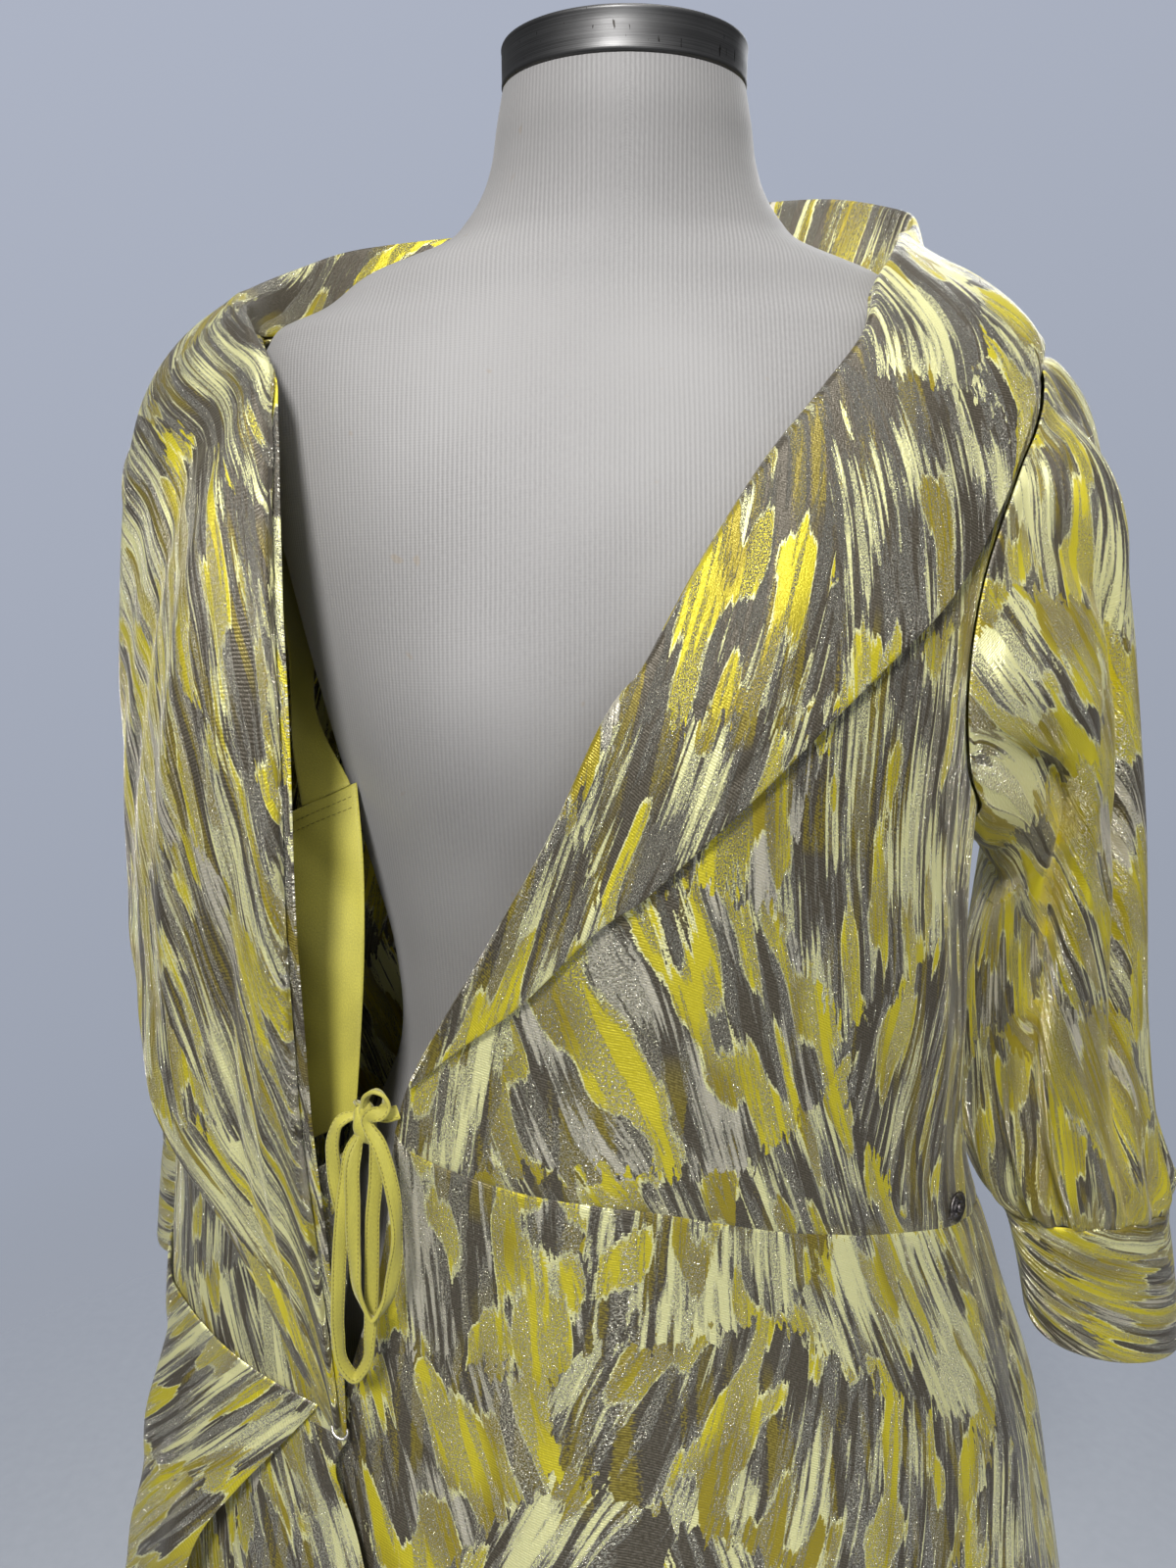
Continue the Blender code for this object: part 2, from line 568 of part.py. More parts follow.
def add_back(rows, shoulder_rows, cols):
    """Back bodice: the fronts' rows from side to side, then rows up the shoulder seams to the neckline."""
    up_side = np.append(smooth_rows(FRONT_LEFT, rows)["up_side"], np.linspace(2, 3, shoulder_rows + 1)[1:])
    up_side = up_side[:, None]
    left_turn, left_z = side_point("left", up_side, back=True)
    right_turn, right_z = side_point("right", up_side, back=True)
    u = np.linspace(0, 1, cols)[None, :]
    turn = left_turn + (right_turn - left_turn) * u
    neck_z = smooth_value(turn, NECKLINE["turn"], NECKLINE["z"])
    level_z = NECK_Z["left"] + (NECK_Z["right"] - NECK_Z["left"]) * (turn - 90) / 180
    z = left_z + (right_z - left_z) * u + (neck_z - level_z) * smooth_step((up_side - 1.4) / 1.6)
    add_wall("back_bodice", *cloth_grids(turn, z, 0.0), JACQUARD)


def side_seam(side, down):
    """Turn and height on the skirt's side seam, which is 0 at the waist and 1 at the hem."""
    z = WAIST_Z[side] + (HEM_Z - WAIST_Z[side]) * down
    if side == "right":
        return ARMHOLES[side]["turn"] + 0 * z, z
    return ARMHOLES[side]["turn"] - SEAM_SWING * smooth_step((WAIST_Z[side] - z) / 0.10), z


def add_skirt_front(name, side, rows_table, tucked, rows, cols):
    """Skirt front: tucked is how far it lies inside the other front where the two overlap."""
    row = smooth_rows(rows_table, rows)
    u = np.linspace(0, 1, cols)[None, :]
    side_turn, side_z = side_seam(side, row["down"])
    turn = side_turn + (row["edge_turn"] - side_turn) * u
    z = side_z + (row["edge_z"] - side_z) * u - row["sag"] * np.sin(math.pi * np.sqrt(1 - u))
    overlap = smooth_step((-4 - angle_between(turn, 0)) / 9) * smooth_step((1.02 - z) / 0.12)
    add_wall(name, *cloth_grids(turn, z, -tucked * overlap), JACQUARD)


def add_skirt_back(rows, cols):
    """Skirt back: from the left side seam round to the right one, and from the waist to the hem."""
    down = smooth_rows(SKIRT_LEFT, rows)["down"]
    u = np.linspace(0, 1, cols)[None, :]
    left_turn, left_z = side_seam("left", down)
    right_turn, right_z = side_seam("right", down)
    turn = left_turn + (right_turn - left_turn) * u
    add_wall("skirt_back", *cloth_grids(turn, left_z + (right_z - left_z) * u, 0.0), JACQUARD)


def add_cascade(rows, cols):
    """Draped corner on the skirt's right front, with one soft ridge that runs down from the waist."""
    row = smooth_rows(CASCADE, rows)
    u = np.linspace(0, 1, cols)[None, :]
    turn = 270 + (row["edge_turn"] - 270) * u
    z = row["side_z"] + (row["edge_z"] - row["side_z"]) * u
    ridge_turn = 314 - 120 * (0.90 - z)
    ridge = 0.010 * np.exp(-(((turn - ridge_turn) / 8) ** 2)) * smooth_step((0.90 - z) / 0.08)
    add_wall("skirt_cascade_right", *cloth_grids(turn, z, CLOTH + LAID_ON + row["lift"] + ridge), JACQUARD)


def collar_grid(rows_table, rows, stand_points, fall_points):
    """Middle surface of a collar: up the stand, over the roll and down the fall, its corner rounded."""
    row = smooth_rows(rows_table, rows)
    seat = CLOTH + LAID_ON + CLOTH / 2
    neck = gown_point(row["neck_turn"], row["neck_z"], seat)
    outward = neck - gown_point(row["neck_turn"], row["neck_z"], seat - 0.01)
    outward[..., 2] = 0
    outward /= np.linalg.norm(outward, axis=-1, keepdims=True)
    stand = outward * row["lean"][..., None]
    stand[..., 2] += row["rise"]
    up = np.linspace(0, 1, stand_points, endpoint=False)[None, :, None]
    v = np.linspace(0, 1, fall_points)[None, :]
    turn = row["neck_turn"] + (row["edge_turn"] - row["neck_turn"]) * v
    z = row["neck_z"] + (row["edge_z"] - row["neck_z"]) * v
    out = seat + row["puff"] * np.sin(math.pi * v) + (row["edge_out"] - seat) * v
    fall = gown_point(turn, z, out) + stand * ((1 - v) ** 4)[..., None]
    grid = np.concatenate([neck + stand * up, fall], axis=1)
    grid[:, 1:-1] = (grid[:, :-2] + 4 * grid[:, 1:-1] + grid[:, 2:]) / 6
    return grid


def add_collar(name, rows_table, rows):
    """One half of the shawl collar, which meets the other half at the centre back."""
    middle = collar_grid(rows_table, rows, 3, 8)
    away = grid_normals(middle) * CLOTH / 2
    middle[0, :, 0] += SEAM / 2 * (1 if rows_table is COLLAR_LEFT else -1)
    away[0, :, 0] = 0
    add_wall(name, middle - away, middle + away, JACQUARD)


def sleeve_grid(rows_table, side, rows, around):
    """Outer face of a sleeve: from its armhole to the cuff seam, with the head's pleats and the gathers."""
    row = smooth_rows(rows_table, rows)
    angle = np.linspace(0, 2 * math.pi, around, endpoint=False)[None, :]
    height, forward = np.cos(angle), np.sin(angle)

    def ring_of(values):
        x = (values["outer_x"] + values["inner_x"]) / 2 + (values["outer_x"] - values["inner_x"]) / 2 * height
        z = (values["outer_z"] + values["inner_z"]) / 2 + (values["outer_z"] - values["inner_z"]) / 2 * height
        return np.stack([x, values["mid_y"] - values["half_y"] * forward, z], -1)

    hole = ARMHOLES[side]
    to_front = -1 if side == "left" else 1
    sweep = np.where(forward > 0, hole["front"], hole["back"])
    hole_turn = hole["turn"] + to_front * (sweep + 0.8) * forward
    hole_z = (hole["low_z"] + hole["high_z"]) / 2 + ((hole["high_z"] - hole["low_z"]) / 2 + 0.001) * height
    seat = gown_point(hole_turn, hole_z, 2 * CLOTH + 2 * SEAM)
    rings = ring_of(row)
    first = ring_of({name: values[:1] for name, values in row.items()})
    t = np.linspace(0, 1, rows)[:, None]
    rings = rings + (seat - first) * (1 - smooth_step(t / 0.30))[..., None]

    to_axis = rings.mean(axis=1, keepdims=True) - rings
    outward = -to_axis / np.linalg.norm(to_axis, axis=-1, keepdims=True)
    head = HEAD_PLEAT_DEPTH * np.cos(HEAD_PLEATS * angle) * (0.55 + 0.45 * height)
    head = head * smooth_step(t / 0.08) * (1 - smooth_step((t - 0.12) / 0.4))
    gathers = CUFF_GATHER_DEPTH * np.cos(CUFF_GATHERS * angle)
    gathers = gathers * smooth_step((t - 0.72) / 0.2) * (1 - 0.6 * smooth_step((t - 0.94) / 0.06))
    return rings + outward * (head + gathers)[..., None]


def add_tube(name, outer, finish=JACQUARD):
    """Cloth tube with the given outer face, its wall inside it."""
    normal = grid_normals(outer, closed=True)
    to_axis = outer.mean(axis=1, keepdims=True) - outer
    inward = normal * np.sign((normal * to_axis).sum(-1, keepdims=True))
    add_wall(name, outer + inward * CLOTH, outer, finish, closed=True)


def cuff_grid(rows_table, rows, around):
    """Outer face of a cuff, a plain band."""
    row = smooth_rows(rows_table, rows)
    angle = np.linspace(0, 2 * math.pi, around, endpoint=False)[None, :]
    x = (row["outer_x"] + row["inner_x"]) / 2 + (row["outer_x"] - row["inner_x"]) / 2 * np.cos(angle)
    z = (row["outer_z"] + row["inner_z"]) / 2 + (row["outer_z"] - row["inner_z"]) / 2 * np.cos(angle)
    y = row["mid_y"] - row["half_y"] * np.sin(angle)
    return np.stack([x, y, z - 2 * SEAM], -1)


def add_strip(name, rows_table, rows, cols, finish):
    """Cloth strip from a side end, often on the gown's inner face, to a front end, bowed between them."""
    row = smooth_rows(rows_table, rows)
    if "side_turn" in row:
        side = gown_point(row["side_turn"], row["side_z"], -CLOTH / 2 - 2 * SEAM)
    else:
        side = np.stack([row["side_" + axis] for axis in "xyz"], -1)
    front = np.stack([row["front_" + axis] for axis in "xyz"], -1)
    u = np.linspace(0, 1, cols)[None, :, None]
    middle = side + (front - side) * u
    middle[..., 1] -= row["bow"] * np.sin(math.pi * u[..., 0])
    away = grid_normals(middle) * CLOTH / 2
    add_wall(name, middle - away, middle + away, finish)


def form_rings(rows, around):
    """Rings of the dress form, with the two soft mounds of its bust."""
    z = np.interp(np.linspace(0, 1, rows), np.linspace(0, 1, len(FORM["z"])), FORM["z"])[:, None]
    ring = {name: smooth_value(z, FORM["z"], values) for name, values in FORM.items() if name != "z"}
    angle = np.linspace(0, 2 * math.pi, around, endpoint=False)[None, :]
    across, along = np.sin(angle), np.cos(angle)
    end_y = np.where(along >= 0, ring["front_y"], ring["back_y"])
    squareness = 1 - 0.12 * smooth_step((1.43 - z) / 0.06)
    x = ring["half_x"] * np.sign(across) * np.abs(across) ** squareness
    y = end_y * np.abs(along) ** squareness
    from_bust = ((np.abs(x) - BUST_X) ** 2 + (z - BUST_Z) ** 2) / BUST_RADIUS**2
    y = y - BUST_DEPTH * np.exp(-from_bust) * smooth_step(along / 0.4)
    return np.stack([x, y, z + 0 * x], -1)


def add_loft(name, rings, finish):
    """Closed solid through level rings, with a flat face at each end."""
    rows, around = rings.shape[:2]
    faces = grid_faces(rows, around, True)
    faces.append(tuple(range(around))[::-1])
    faces.append(tuple(range((rows - 1) * around, rows * around)))
    return add_mesh(name, rings.reshape(-1, 3), faces, finish)


def turned_rings(profile, around):
    """Rings of a turned solid on the Z axis, from (radius, z) pairs."""
    angle = np.linspace(0, 2 * math.pi, around, endpoint=False)
    return np.array([[(r * math.sin(a), -r * math.cos(a), z) for a in angle] for r, z in profile])


def add_form():
    """The linen torso, its brushed steel neck cap, the pole and the round base."""
    add_loft("form_torso", form_rings(23, 28), LINEN)
    edge = 0.0014
    cap = (
        (CAP_RADIUS - edge, CAP_BOTTOM), (CAP_RADIUS, CAP_BOTTOM + edge),
        (CAP_RADIUS, CAP_TOP - edge), (CAP_RADIUS - edge, CAP_TOP),
    )
    add_loft("form_neck_cap", turned_rings(cap, 28), BRUSHED_STEEL)
    pole = ((POLE_RADIUS, BASE_HEIGHT + SEAM), (POLE_RADIUS, TORSO_BOTTOM - SEAM))
    add_loft("form_pole", turned_rings(pole, 16), BRUSHED_STEEL)
    base = (
        (BASE_RADIUS, 0.0), (BASE_RADIUS, BASE_HEIGHT - 0.003), (BASE_RADIUS - 0.003, BASE_HEIGHT),
    )
    add_loft("form_base", turned_rings(base, 32), BRUSHED_STEEL)


def smooth_route(route, count):
    """Points spread evenly along a smooth curve through the route's own points."""
    route = np.array(route, float)
    length = np.concatenate([[0], np.cumsum(np.linalg.norm(np.diff(route, axis=0), axis=1))])
    at = np.linspace(0, length[-1], count)
    return np.stack([smooth_value(at, length, route[:, axis]) for axis in range(3)], -1)


def add_tape(name, route, count, face=(0.0, -1.0, 0.0)):
    """Flat tape along a route, its broad face turned as nearly as it can be to the given direction."""
    path = smooth_route(route, count)
    along = np.gradient(path, axis=0)
    along /= np.linalg.norm(along, axis=1, keepdims=True)
    across = np.cross(along, np.array(face))
    across /= np.linalg.norm(across, axis=1, keepdims=True)
    thick = np.cross(along, across)
    sides = ((1, 1), (1, -1), (-1, -1), (-1, 1))
    rings = [path + across * a * TAPE_WIDTH / 2 + thick * b * TAPE_THICKNESS / 2 for a, b in sides]
    return add_loft(name, np.stack(rings, 1), CREPE)


def add_ties():
    """The flat crepe tapes, and the knot that holds them together."""
    for name, route in TIE_ROUTES.items():
        add_tape(name, route, 6 + 3 * len(route) if len(route) > 4 else 2 + len(route))
    profile = [(math.sin(a), math.cos(a)) for a in np.linspace(math.pi - 0.5, 0.5, 6)]
    rings = turned_rings(profile, 10) * np.array(KNOT_HALF) + np.array(KNOT_MIDDLE)
    add_loft("tie_knot", rings, CREPE)


def add_hook():
    """Bent wire hook at the lower end of the right roll line."""
    path = smooth_route(HOOK_ROUTE, 12)
    along = np.gradient(path, axis=0)
    along /= np.linalg.norm(along, axis=1, keepdims=True)
    first = np.cross(along, np.array((0.3, 0.2, -1.0)))
    first /= np.linalg.norm(first, axis=1, keepdims=True)
    second = np.cross(along, first)
    angles = np.linspace(0, 2 * math.pi, 8, endpoint=False)
    rings = [path + HOOK_WIRE * (first * math.cos(a) + second * math.sin(a)) for a in angles]
    add_loft("hook", np.stack(rings, 1), BRUSHED_STEEL)


def add_disc(name, middle, normal, profile, around, finish):
    """Turned solid whose axis is the given normal, from (radius, height) pairs."""
    normal = np.array(normal) / np.linalg.norm(normal)
    first = np.cross(normal, (0.0, 0.0, 1.0))
    first /= np.linalg.norm(first)
    second = np.cross(normal, first)
    angle = np.linspace(0, 2 * math.pi, around, endpoint=False)[:, None]
    rings = [middle + (first * np.cos(angle) + second * np.sin(angle)) * r + normal * h for r, h in profile]
    return add_loft(name, np.array(rings), finish)


def add_snap():
    """Metal snap stud at the left end of the waist seam."""
    turn, z = 58.7, 0.9925
    seat = gown_point(turn, z, CLOTH + 2 * SEAM)
    normal = seat - gown_point(turn, z, 0.0)
    profile = (
        (SNAP_RADIUS, 0.0), (SNAP_RADIUS, SNAP_HEIGHT * 0.5), (SNAP_RADIUS * 0.8, SNAP_HEIGHT * 0.75),
        (SNAP_RADIUS * 0.36, SNAP_HEIGHT * 0.75), (SNAP_RADIUS * 0.30, SNAP_HEIGHT * 1.2),
    )
    add_disc("snap_stud", seat, normal, profile, 16, DARK_METAL)


def build():
    for leftover in list(bpy.data.objects):
        bpy.data.objects.remove(leftover)
    add_form()
    add_front("front_left_bodice", "left", FRONT_LEFT, 14, 14)
    add_front("front_right_bodice", "right", FRONT_RIGHT, 14, 10)
    add_back(14, 3, 20)
    add_skirt_front("skirt_front_left", "left", SKIRT_LEFT, 0.009, 11, 14)
    add_skirt_front("skirt_front_right", "right", SKIRT_RIGHT, 0.0, 11, 10)
    add_skirt_back(11, 20)
    add_cascade(9, 8)
    add_collar("collar_left", COLLAR_LEFT, 22)
    add_collar("collar_right", COLLAR_RIGHT, 24)
    add_tube("sleeve_left", sleeve_grid(SLEEVE_LEFT, "left", 14, SLEEVE_AROUND))
    add_tube("sleeve_right", sleeve_grid(SLEEVE_RIGHT, "right", 14, SLEEVE_AROUND))
    add_tube("cuff_left", cuff_grid(CUFF_LEFT, 3, 24))
    add_tube("cuff_right", cuff_grid(CUFF_RIGHT, 3, 24))
    add_strip("inner_wrap_panel", INNER_PANEL, 8, 6, CREPE)
    add_strip("inner_strap", INNER_STRAP, 8, 3, CREPE)
    add_strip("front_facing_right", FACING_RIGHT, 7, 4, JACQUARD)
    add_ties()
    add_snap()
    add_hook()


build()
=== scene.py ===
"""Looks of an evening gown that hangs open on a limbless dress form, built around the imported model.

Metres, +Z up. The form's axis is the Z axis and its front faces -Y. Left and right are the wearer's, so the
gown's left side is at +X.
"""

import math

import bpy
import numpy as np
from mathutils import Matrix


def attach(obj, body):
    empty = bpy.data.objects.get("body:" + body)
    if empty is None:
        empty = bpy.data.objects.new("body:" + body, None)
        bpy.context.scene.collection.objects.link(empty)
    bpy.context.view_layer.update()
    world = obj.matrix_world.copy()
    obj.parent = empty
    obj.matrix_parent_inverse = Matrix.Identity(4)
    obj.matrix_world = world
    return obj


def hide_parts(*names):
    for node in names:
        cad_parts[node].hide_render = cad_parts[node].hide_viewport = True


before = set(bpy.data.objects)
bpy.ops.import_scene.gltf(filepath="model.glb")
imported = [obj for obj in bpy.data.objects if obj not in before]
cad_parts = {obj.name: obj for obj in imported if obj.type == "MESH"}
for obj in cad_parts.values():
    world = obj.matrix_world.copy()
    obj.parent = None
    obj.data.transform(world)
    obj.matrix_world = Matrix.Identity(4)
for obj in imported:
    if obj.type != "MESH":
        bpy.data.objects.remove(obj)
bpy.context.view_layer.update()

# The dress form's torso.
# A padded shell under a knitted linen cover with fine ribs that run up and down. The cover is pulled on
# like a stocking, drawn in under the steel cap, and ends flat below the hips.


def table(names, rows):
    """Rows of numbers as a dictionary with an array for each named column."""
    return dict(zip(names.split(), np.array(rows, float).T))


FORM = table("z half_x front_y back_y", (
    (0.820, 0.140, -0.085, 0.072),
    (0.845, 0.158, -0.097, 0.084),
    (0.880, 0.167, -0.104, 0.090),
    (0.930, 0.163, -0.103, 0.090),
    (0.985, 0.140, -0.094, 0.082),
    (1.040, 0.119, -0.085, 0.072),
    (1.098, 0.1197, -0.090, 0.072),
    (1.148, 0.1305, -0.100, 0.078),
    (1.212, 0.145, -0.110, 0.087),
    (1.270, 0.1585, -0.110, 0.094),
    (1.330, 0.170, -0.098, 0.094),
    (1.3765, 0.174, -0.078, 0.087),
    (1.396, 0.169, -0.068, 0.081),
    (1.4045, 0.162, -0.064, 0.078),
    (1.4115, 0.145, -0.061, 0.075),
    (1.4285, 0.119, -0.057, 0.069),
    (1.4425, 0.0823, -0.055, 0.063),
    (1.451, 0.0735, -0.0545, 0.061),
    (1.4625, 0.0658, -0.0545, 0.0595),
    (1.475, 0.0613, -0.055, 0.058),
    (1.491, 0.0586, -0.056, 0.0565),
    (1.506, 0.0556, -0.0556, 0.0556),
))
BUST_X, BUST_Z, BUST_RADIUS, BUST_DEPTH = 0.070, 1.228, 0.052, 0.012
RIB_PITCH = 0.0021
RIB_WAVER = 1.6  # radians by which the ribs wander aside
STITCH_PITCH = 0.0012
LINEN_RELIEF = 0.00022
LINEN_LIGHT = (0.342, 0.333, 0.328, 1.0)
LINEN_SHADE = (0.236, 0.229, 0.225, 1.0)
LINEN_CLOUD = (0.326, 0.318, 0.313, 1.0)
LINEN_MARK = (0.300, 0.270, 0.235, 1.0)


def smooth_value(at, knots, values):
    """Cubic curve through the knots, whose slope at each comes from its neighbours."""
    at = np.asarray(at, float)
    slopes = np.gradient(values, knots)
    i = np.clip(np.searchsorted(knots, at) - 1, 0, len(knots) - 2)
    span = knots[i + 1] - knots[i]
    t = np.clip((at - knots[i]) / span, 0, 1)
    near = (1 + 2 * t) * (1 - t) ** 2 * values[i] + t * (1 - t) ** 2 * span * slopes[i]
    far = t * t * (3 - 2 * t) * values[i + 1] - t * t * (1 - t) * span * slopes[i + 1]
    return near + far


def smooth_step(value):
    """0 below 0, 1 above 1, and a smooth rise between."""
    t = np.clip(value, 0, 1)
    return t * t * (3 - 2 * t)


def ring_angles(count):
    """Angles round a ring from -pi to pi, as one row."""
    return np.linspace(-math.pi, math.pi, count, endpoint=False)[None, :]


def grid_squares(rows, cols, closed):
    """Row and column of each corner of a grid's squares. On a closed one the last column meets the first."""
    i, j = np.meshgrid(np.arange(rows - 1), np.arange(cols if closed else cols - 1), indexing="ij")
    i, j = i.ravel(), j.ravel()
    return np.stack([i, i, i + 1, i + 1], 1), np.stack([j, j + 1, j + 1, j], 1)


def laid_flat(grid, closed=False):
    """Place of each point on the flat cloth: the length walked along its row, from the middle column, and the
    length walked down its column, from the first row's height."""
    if closed:
        grid = np.concatenate([grid, grid[:, :1]], axis=1)
    across = np.cumsum(np.linalg.norm(np.diff(grid, axis=1, prepend=grid[:, :1]), axis=-1), axis=1)
    across = across - across[:, across.shape[1] // 2, None]
    down = np.cumsum(np.linalg.norm(np.diff(grid, axis=0, prepend=grid[:1]), axis=-1), axis=0)
    upwards = 1 if grid[-1, 0, 2] > grid[0, 0, 2] else -1
    return np.stack([across, grid[:1, :, 2] + upwards * down], -1)


def add_piece(name, points, faces, flat, slot, material, *nodes):
    """Object at the origin that rides on the form and stands for the named CAD nodes. flat is the flat
    place of each face corner. The faces are all turned over when the volume that they close comes out
    negative."""
    volume = 0.0
    for face in (faces[faces[:, 3] >= 0], faces[faces[:, 3] < 0]):
        corners = points[face]
        volume += np.einsum("ij,ij->", corners[:, 0], np.cross(corners[:, 1], corners[:, 2]))
        if face.size and face[0, 3] >= 0:
            volume += np.einsum("ij,ij->", corners[:, 0], np.cross(corners[:, 2], corners[:, 3]))
    sizes = np.where(faces[:, 3] >= 0, 4, 3)
    if volume < 0:
        turned = np.where((sizes == 4)[:, None], faces[:, [3, 2, 1, 0]], faces[:, [2, 1, 0, 3]])
        order = np.where((sizes == 4)[:, None], [[3, 2, 1, 0]], [[2, 1, 0, 3]])
        flat = np.take_along_axis(flat, order[..., None], axis=1)
        faces = turned
    used = faces >= 0
    mesh = bpy.data.meshes.new(name)
    mesh.vertices.add(len(points))
    mesh.vertices.foreach_set("co", points.astype(np.float32).ravel())
    mesh.loops.add(int(sizes.sum()))
    mesh.loops.foreach_set("vertex_index", faces[used].astype(np.int32))
    mesh.polygons.add(len(faces))
    mesh.polygons.foreach_set("loop_start", np.concatenate([[0], np.cumsum(sizes)[:-1]]).astype(np.int32))
    mesh.uv_layers.new(name="flat").data.foreach_set("uv", flat[used].astype(np.float32).ravel())
    mesh.update(calc_edges=True)
    mesh.validate()
    mesh.shade_smooth()
    mesh.set_sharp_from_angle(angle=math.radians(55))
    mesh.materials.append(material)
    made = bpy.data.objects.new(name, mesh)
    bpy.context.scene.collection.objects.link(made)
    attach(made, "root")
    if nodes:
        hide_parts(*nodes)
    return made


def add_loft(name, rings, slot, material, *nodes):
    """Closed solid through a grid of rings, with a fan of triangles to the middle of each end."""
    rows, cols = rings.shape[:2]
    flat = laid_flat(rings, closed=True)
    i, j = grid_squares(rows, cols, True)
    faces = i * cols + j % cols
    corners = flat[i, j]
    points = np.concatenate([rings.reshape(-1, 3), rings[:1].mean(axis=1), rings[-1:].mean(axis=1)])
    around = np.arange(cols)
    beside = (around + 1) % cols
    none = np.full(cols, -1)
    first = np.stack([beside, around, np.full(cols, rows * cols), none], 1)
    last = np.stack([around, beside, np.full(cols, rows * cols + 1), none], 1)
    last[:, :2] += (rows - 1) * cols
    ends = np.concatenate([first, last])
    faces, corners = np.concatenate([faces, ends]), np.concatenate([corners, points[ends][..., :2]])
    return add_piece(name, points, faces, corners, slot, material, *nodes)


def form_rings(rows, around):
    """Level rings that are superellipses, with two soft bells for the bust, from the back round."""
    z = np.interp(np.linspace(0, 1, rows), np.linspace(0, 1, len(FORM["z"])), FORM["z"])[:, None]
    ring = {name: smooth_value(z, FORM["z"], values) for name, values in FORM.items() if name != "z"}
    angle = ring_angles(around)
    across, along = np.sin(angle), np.cos(angle)
    end_y = np.where(along >= 0, ring["front_y"], ring["back_y"])
    squareness = 1 - 0.12 * smooth_step((1.43 - z) / 0.06)
    x = ring["half_x"] * np.sign(across) * np.abs(across) ** squareness
    y = end_y * np.abs(along) ** squareness
    from_bust = ((np.abs(x) - BUST_X) ** 2 + (z - BUST_Z) ** 2) / BUST_RADIUS**2
    y = y - BUST_DEPTH * np.exp(-from_bust) * smooth_step(along / 0.4)
    return np.stack([x, y, z + 0 * x], -1)


def new_node(tree, kind, inputs=(), **settings):
    """New shader node. settings are its own properties, and inputs its sockets by name or number, each set
    to a value or joined to another node's output."""
    made = tree.nodes.new("ShaderNode" + kind)
    for name, value in settings.items():
        setattr(made, name, value)
    for socket, value in dict(inputs).items():
        if isinstance(value, bpy.types.NodeSocket):
            tree.links.new(value, made.inputs[socket])
        else:
            made.inputs[socket].default_value = value
    return made


def reckon(tree, operation, *values, clamp=False):
    """Output of a Math node on numbers or outputs."""
    return new_node(tree, "Math", enumerate(values), operation=operation, use_clamp=clamp).outputs[0]


def stretched(tree, vector, sizes):
    """The vector multiplied by a size on each axis."""
    return new_node(tree, "VectorMath", {0: vector, 1: sizes}, operation="MULTIPLY").outputs[0]


def noise(tree, vector, scale=1.0, detail=2.0, roughness=0.5, output="Fac"):
    """Noise on a flat vector, as a value around 0.5 or, when output is Color, as a colour."""
    inputs = {"Vector": vector, "Scale": scale, "Detail": detail, "Roughness": roughness}
    return new_node(tree, "TexNoise", inputs, noise_dimensions="2D").outputs[output]


def blended(tree, amount, first, second, mode="MIX"):
    """Two colours mixed by an amount from 0 to 1."""
    inputs = {0: amount, 6: first, 7: second}
    return new_node(tree, "Mix", inputs, data_type="RGBA", blend_type=mode).outputs[2]


def spread(tree, value, low, high):
    """0 where the value is at or below low, 1 at or above high, and even between."""
    inputs = {"Value": value, "From Min": low, "From Max": high}
    return new_node(tree, "MapRange", inputs).outputs[0]


def new_material(name, roughness, **numbers):
    """Material with a principled shader, whose plain numbers are set on its own sockets."""
    made = bpy.data.materials.new(name)
    made.use_nodes = True
    shader = made.node_tree.nodes["Principled BSDF"]
    shader.inputs["Roughness"].default_value = roughness
    for socket, value in numbers.items():
        shader.inputs[socket.replace("_", " ")].default_value = value
    return made, made.node_tree, shader


def raised(tree, shader, height, distance, strength=1.0):
    """Joins a height to the shader as a bump of that distance in metres."""
    made = new_node(tree, "Bump", {"Height": height, "Distance": distance, "Strength": strength})
    tree.links.new(made.outputs[0], shader.inputs["Normal"])


linen, tree, shader = new_material("ribbed_linen_jersey", 0.56, Sheen_Weight=0.20, Sheen_Roughness=0.5)
flat_place = new_node(tree, "UVMap", uv_map="flat").outputs[0]
parts = new_node(tree, "SeparateXYZ", {0: flat_place})
waver = noise(tree, stretched(tree, flat_place, (60, 25, 1)), detail=1)
wander = reckon(tree, "MULTIPLY", waver, RIB_WAVER)
turn = reckon(tree, "MULTIPLY_ADD", parts.outputs[0], 2 * math.pi / RIB_PITCH, wander)
rib = reckon(tree, "MULTIPLY_ADD", reckon(tree, "SINE", turn), 0.5, 0.5)
row_turn = reckon(tree, "MULTIPLY", parts.outputs[1], 2 * math.pi / STITCH_PITCH)
stitch = reckon(tree, "MULTIPLY_ADD", reckon(tree, "SINE", row_turn), 0.5, 0.5)
fuzz = noise(tree, stretched(tree, flat_place, (900, 420, 1)), detail=2)
height = reckon(tree, "MULTIPLY_ADD", stitch, 0.25, reckon(tree, "MULTIPLY_ADD", fuzz, 0.5, rib))
lit = reckon(tree, "MULTIPLY_ADD", fuzz, 0.5, reckon(tree, "MULTIPLY", rib, 0.55), clamp=True)
cover = blended(tree, lit, LINEN_SHADE, LINEN_LIGHT)
cloudy = noise(tree, flat_place, scale=9, detail=3)
cover = blended(tree, spread(tree, cloudy, 0.35, 0.75), cover, LINEN_CLOUD)
marks = noise(tree, flat_place, scale=46, detail=2, roughness=0.75)
cover = blended(tree, spread(tree, marks, 0.755, 0.790), cover, LINEN_MARK)
tree.links.new(cover, shader.inputs["Base Color"])
raised(tree, shader, height, LINEN_RELIEF, 0.55)

torso = add_loft("form_torso_cover", form_rings(170, 176), "linen", linen, "form_torso")

